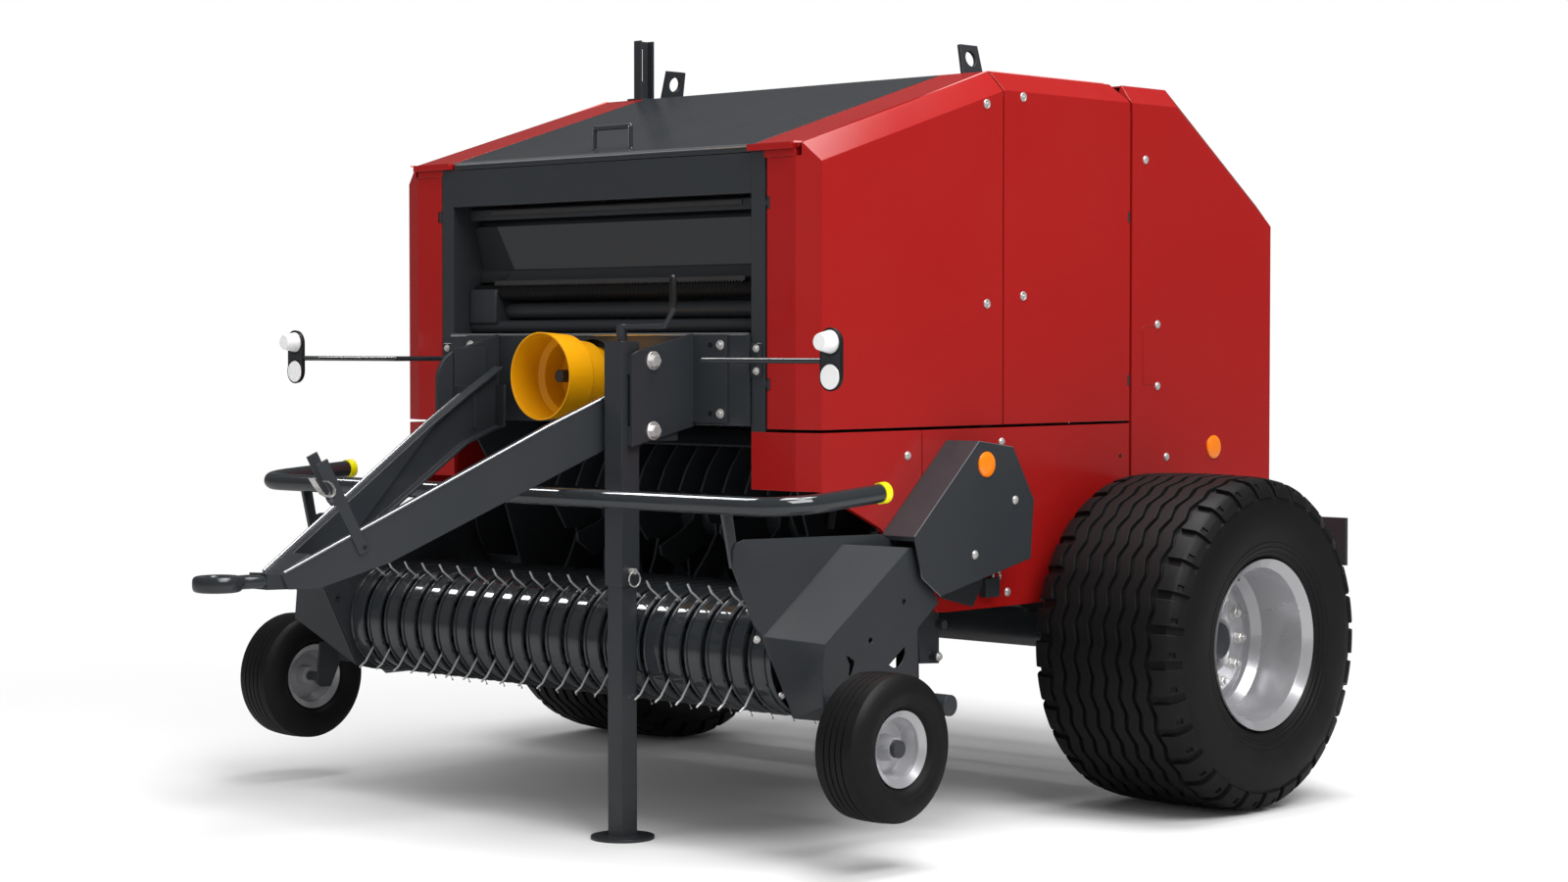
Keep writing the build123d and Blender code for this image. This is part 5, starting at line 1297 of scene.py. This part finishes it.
@dataclass(frozen=True)
class MarkerLamps:
    """White lenses in dark pods on the marker arms; sections in metres.

    Attributes:
        place: middle of the left pod in millimetres.
        lens_at: how far out of the pod's back the lenses start.
        lens_rise: height of the lenses above and below the middle.
        cone: section of the tapered upper lens.
        disc: section of the flat lower lens.
        pod_rise: middles of the pod's round ends.
        pod_r: radius of its ends.
        pod_sheet: its thickness.
        lip_at: how far out the lip round each lens starts.
        lip: the lip's section.
    """

    place: Point = (1473.0, 1063.0, 1257.0)
    lens_at: float = 0.0085
    lens_rise: float = 0.043
    cone: tuple[Flat, ...] = ((0.0, 0.0), (0.0, 0.029), (0.005, 0.0292), (0.040, 0.0208),
                              (0.0415, 0.0195), (0.042, 0.0))
    disc: tuple[Flat, ...] = ((0.0, 0.0), (0.0, 0.031), (0.0025, 0.0312), (0.0045, 0.0298),
                              (0.005, 0.0))
    pod_rise: float = 0.041
    pod_r: float = 0.0358
    pod_sheet: float = 0.0085
    pod_steps: int = 18
    lip_at: float = 0.0075
    lip: tuple[Flat, ...] = ((0.0, 0.0328), (0.0, 0.0352), (0.004, 0.0348), (0.0045, 0.0335),
                             (0.004, 0.0328))

    def build(self) -> None:
        """Adds the lenses, and one pod a side with a lip round each lens."""
        lenses, pods = Draft(), Draft()
        for sign in SIDES.values():
            centre = DATUM.path([self.place], sign)[0]
            outline = []
            for end, start in ((1, 0.0), (-1, math.pi)):
                middle = centre + UP * (end * self.pod_rise)
                for i in range(self.pod_steps + 1):
                    turn = start + math.pi * i / self.pod_steps
                    out = LEFT * math.cos(turn) + UP * math.sin(turn)
                    outline.append(middle + out * self.pod_r)
            pods.plate(outline, FORWARD * self.pod_sheet)
            for lens, rise in ((self.cone, self.lens_rise), (self.disc, -self.lens_rise)):
                base = centre + UP * rise
                lenses.turned(lens, base + FORWARD * self.lens_at, FORWARD, 40)
                pods.turned(self.lip, base + FORWARD * self.lip_at, FORWARD, 40)
        lamps = lenses.done("marker_lenses", Look.LENS, "frame", "white_lens")
        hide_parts("marker_lamps")
        pods.done("marker_pods", Look.BLACK, "frame", "dark_paint", bevel=0.0015)


@dataclass(frozen=True)
class RearLamps:
    """Lamps and reflectors on the rear light board, in millimetres.

    Attributes:
        face: x of the housings' faces.
        back: x to which every box reaches into the board.
        z: height of the clusters' middles.
        half: half height of a housing.
        proud: how far the lenses stand out of the housings.
        shrink: how far they keep from their upper and lower edges.
        triangle: middle of the left triangle.
        corner: distance of its corners from its middle.
        triangle_sheet: its thickness.
        edge: bevel of every piece, in metres.
    """

    face: float = -900.3
    back: float = -898.0
    z: float = 692.0
    half: float = 46.0
    proud: float = 0.6
    shrink: float = 8.0
    triangle: Point = (-900.8, 700.0, 684.0)
    corner: float = 52.0
    triangle_sheet: float = 2.0
    edge: float = 0.0002

    def build(self) -> None:
        """Adds a lamp cluster and a triangle a side, facing back."""
        housing, red, amber = Draft(), Draft(), Draft()
        for sign in SIDES.values():
            self.block(housing, sign * 800, sign * 1004, 0.0, 0.0)
            for lens, inner in ((red, 808), (red, 872), (amber, 936)):
                self.block(lens, sign * inner, sign * (inner + 60), self.proud, self.shrink)
            centre = DATUM.path([self.triangle], sign)[0]
            red.plate(circle(centre, UP, -LEFT, self.corner / MILLI, 3),
                      FORWARD * (self.triangle_sheet / MILLI))
        housing.done("rear_lamp_housings", Look.BLACK, "tailgate", "dark_paint", bevel=self.edge)
        red.done("rear_red_lenses", Look.RUBY, "tailgate", "white_lens", bevel=self.edge)
        amber.done("rear_amber_lenses", Look.ORANGE, "tailgate", "white_lens", bevel=self.edge)

    def block(self, draft: Draft, y0: float, y1: float, proud: float, shrink: float) -> None:
        """A flat box on the board."""
        draft.box(DATUM.at(self.face - proud, min(y0, y1), self.z - self.half + shrink),
                  DATUM.at(self.back, max(y0, y1), self.z + self.half - shrink))


# ---- thin bars and small plates
def latch_outline() -> None:
    """Outline of the latch plate on each side of the tailgate."""
    outline = ((-200, 1346), (-136, 1346), (-131, 1341), (-131, 1183), (-136, 1178), (-200, 1178))
    draft = Draft()
    for sign in SIDES.values():
        draft.tube(DATUM.wall(outline, sign * 821), 0.0016, 8)
    draft.done("latch_outline", Look.RED, "tailgate", "red_paint")


def jack_fittings() -> None:
    """Locking pin with its ring, and the grip on the crank."""
    pin = Draft()
    pin.tube([DATUM.at(1497, 300, 703), DATUM.at(1497, 392, 703)], 0.008, 14)
    pin.tube(hoop(DATUM.at(1497, 389, 683), UP, FORWARD, 0.020), 0.0022, 8)
    pin.done("jack_pin", Look.ZINC, "frame", "bare_steel")
    grip = Draft()
    grip.turned([(0.0, 0.0), (0.0, 0.008), (0.004, 0.0095), (0.02, 0.0102), (0.07, 0.0095),
                 (0.078, 0.008), (0.078, 0.0)], DATUM.at(1497, 532, 1388), UP, 20)
    grip.done("crank_grip", Look.BLACK, "frame", "dark_paint")


def gauge_caps() -> None:
    """Domed caps over the small wheels' pins."""
    dome = [(0.0, 0.0), (0.0, 0.027), (0.003, 0.028), (0.016, 0.0265), (0.0205, 0.022),
            (0.0225, 0.012), (0.023, 0.0)]
    foot = 0.0225
    for side, sign in SIDES.items():
        draft, out = Draft(), LEFT * sign
        draft.turned(dome, DATUM.axis(f"{side}_gauge_wheel_spin") + out * foot, out, 40)
        draft.done(f"{side}_gauge_cap", Look.BLACK, f"{side}_gauge_wheel", "dark_paint")


def lid_hinge_eyes() -> None:
    """Hinge eyes at the lid's rear edge."""
    eye = [(0.0, 0.0), (0.0, 0.0076), (0.002, 0.0094), (0.016, 0.0094), (0.018, 0.0076),
           (0.018, 0.0)]
    draft = Draft()
    for y in (-453, -405, 387, 435):
        draft.turned(eye, DATUM.at(440, y, 2035), LEFT, 18)
    draft.done("lid_hinge_eyes", Look.DARK, "frame", "dark_paint")


def lid_tabs() -> None:
    """Short rolled tabs near the lid's rear edge."""
    ridge_x, ridge_z, slope, half, lift = 432, 2043, 0.2964, 15, 0.5
    draft = Draft()
    for y in (-494, -347, 347, 494):
        for x in (547, 561):
            z = ridge_z - (x - ridge_x) * slope + lift
            draft.tube([DATUM.at(x, y - half, z), DATUM.at(x, y + half, z)], 0.0028, 8)
    draft.done("lid_tabs", Look.ZINC, "roof_lid", "dark_paint")


def cap_returns() -> None:
    """Short returns under the front lips of the roof's caps."""
    draft = Draft()
    for y0, y1 in ((640.0, 750.5), (-750.5, -640.0)):
        draft.box(DATUM.at(1250, y0, 1776.6), DATUM.at(1273, y1, 1796))
    draft.done("cap_returns", Look.RED, "frame", "red_paint", bevel=0.001)


def cover_brackets() -> None:
    """Plate, block and eye below each drive cover."""
    plate, ring = Draft(), Draft()
    outline = ((792, 617), (649, 582), (604, 643), (640, 720), (780, 720))
    for sign in SIDES.values():
        plate.plate(DATUM.wall(outline, sign * 824), LEFT * (sign * 0.005))
        ends = sorted((sign * 822.0, sign * 846.0))
        plate.box(DATUM.at(553, ends[0], 605), DATUM.at(612, ends[1], 658))
        ring.tube(hoop(DATUM.at(560, sign * 838, 662), FORWARD, UP, 0.015), 0.0042, 10)
    plate.done("cover_brackets", Look.DARK, "frame", "dark_paint", bevel=0.0015)
    ring.done("cover_eyes", Look.ZINC, "frame", "bare_steel")


def cradle_clip() -> None:
    """Spring clip that holds the drive shaft in its cradle."""
    path = ((2305, 962), (2290, 941), (2271, 921), (2254, 913), (2241, 920), (2239, 934),
            (2248, 947), (2262, 954))
    section = ((68, 0), (92, 0), (92, 1.4), (68, 1.4))
    draft = Draft()
    draft.grid([[DATUM.at(x + shift, y, z + shift) for y, shift in section] for x, z in path])
    draft.done("cradle_clip", Look.ZINC, "frame", "bare_steel")


def main() -> None:
    """Builds the looks in order."""
    logging.basicConfig(level=logging.INFO, format="%(message)s")
    dress(frame["record"], frame["nodes"])
    Studio().build(mirroring_nodes())
    for side in SIDES:
        for part in (MainTyre(), GaugeTyre(), WheelDress()):
            part.build(side)
    for part in (Tines(), *FITTINGS,
                 Reflector("tailgate_reflector", "tailgate", (-487, 821, 987), 35.0),
                 Reflector("cover_reflector", "frame", (723, 935, 974), 34.0),
                 BandBeads(), HitchEye(), EdgeBeads(), CropGuide(), NetArea(), MarkerLamps(),
                 RearLamps()):
        part.build()
    for add in (latch_outline, jack_fittings, gauge_caps, lid_hinge_eyes, lid_tabs, cap_returns,
                cover_brackets, cradle_clip):
        add()


if __name__ == "__main__":
    main()
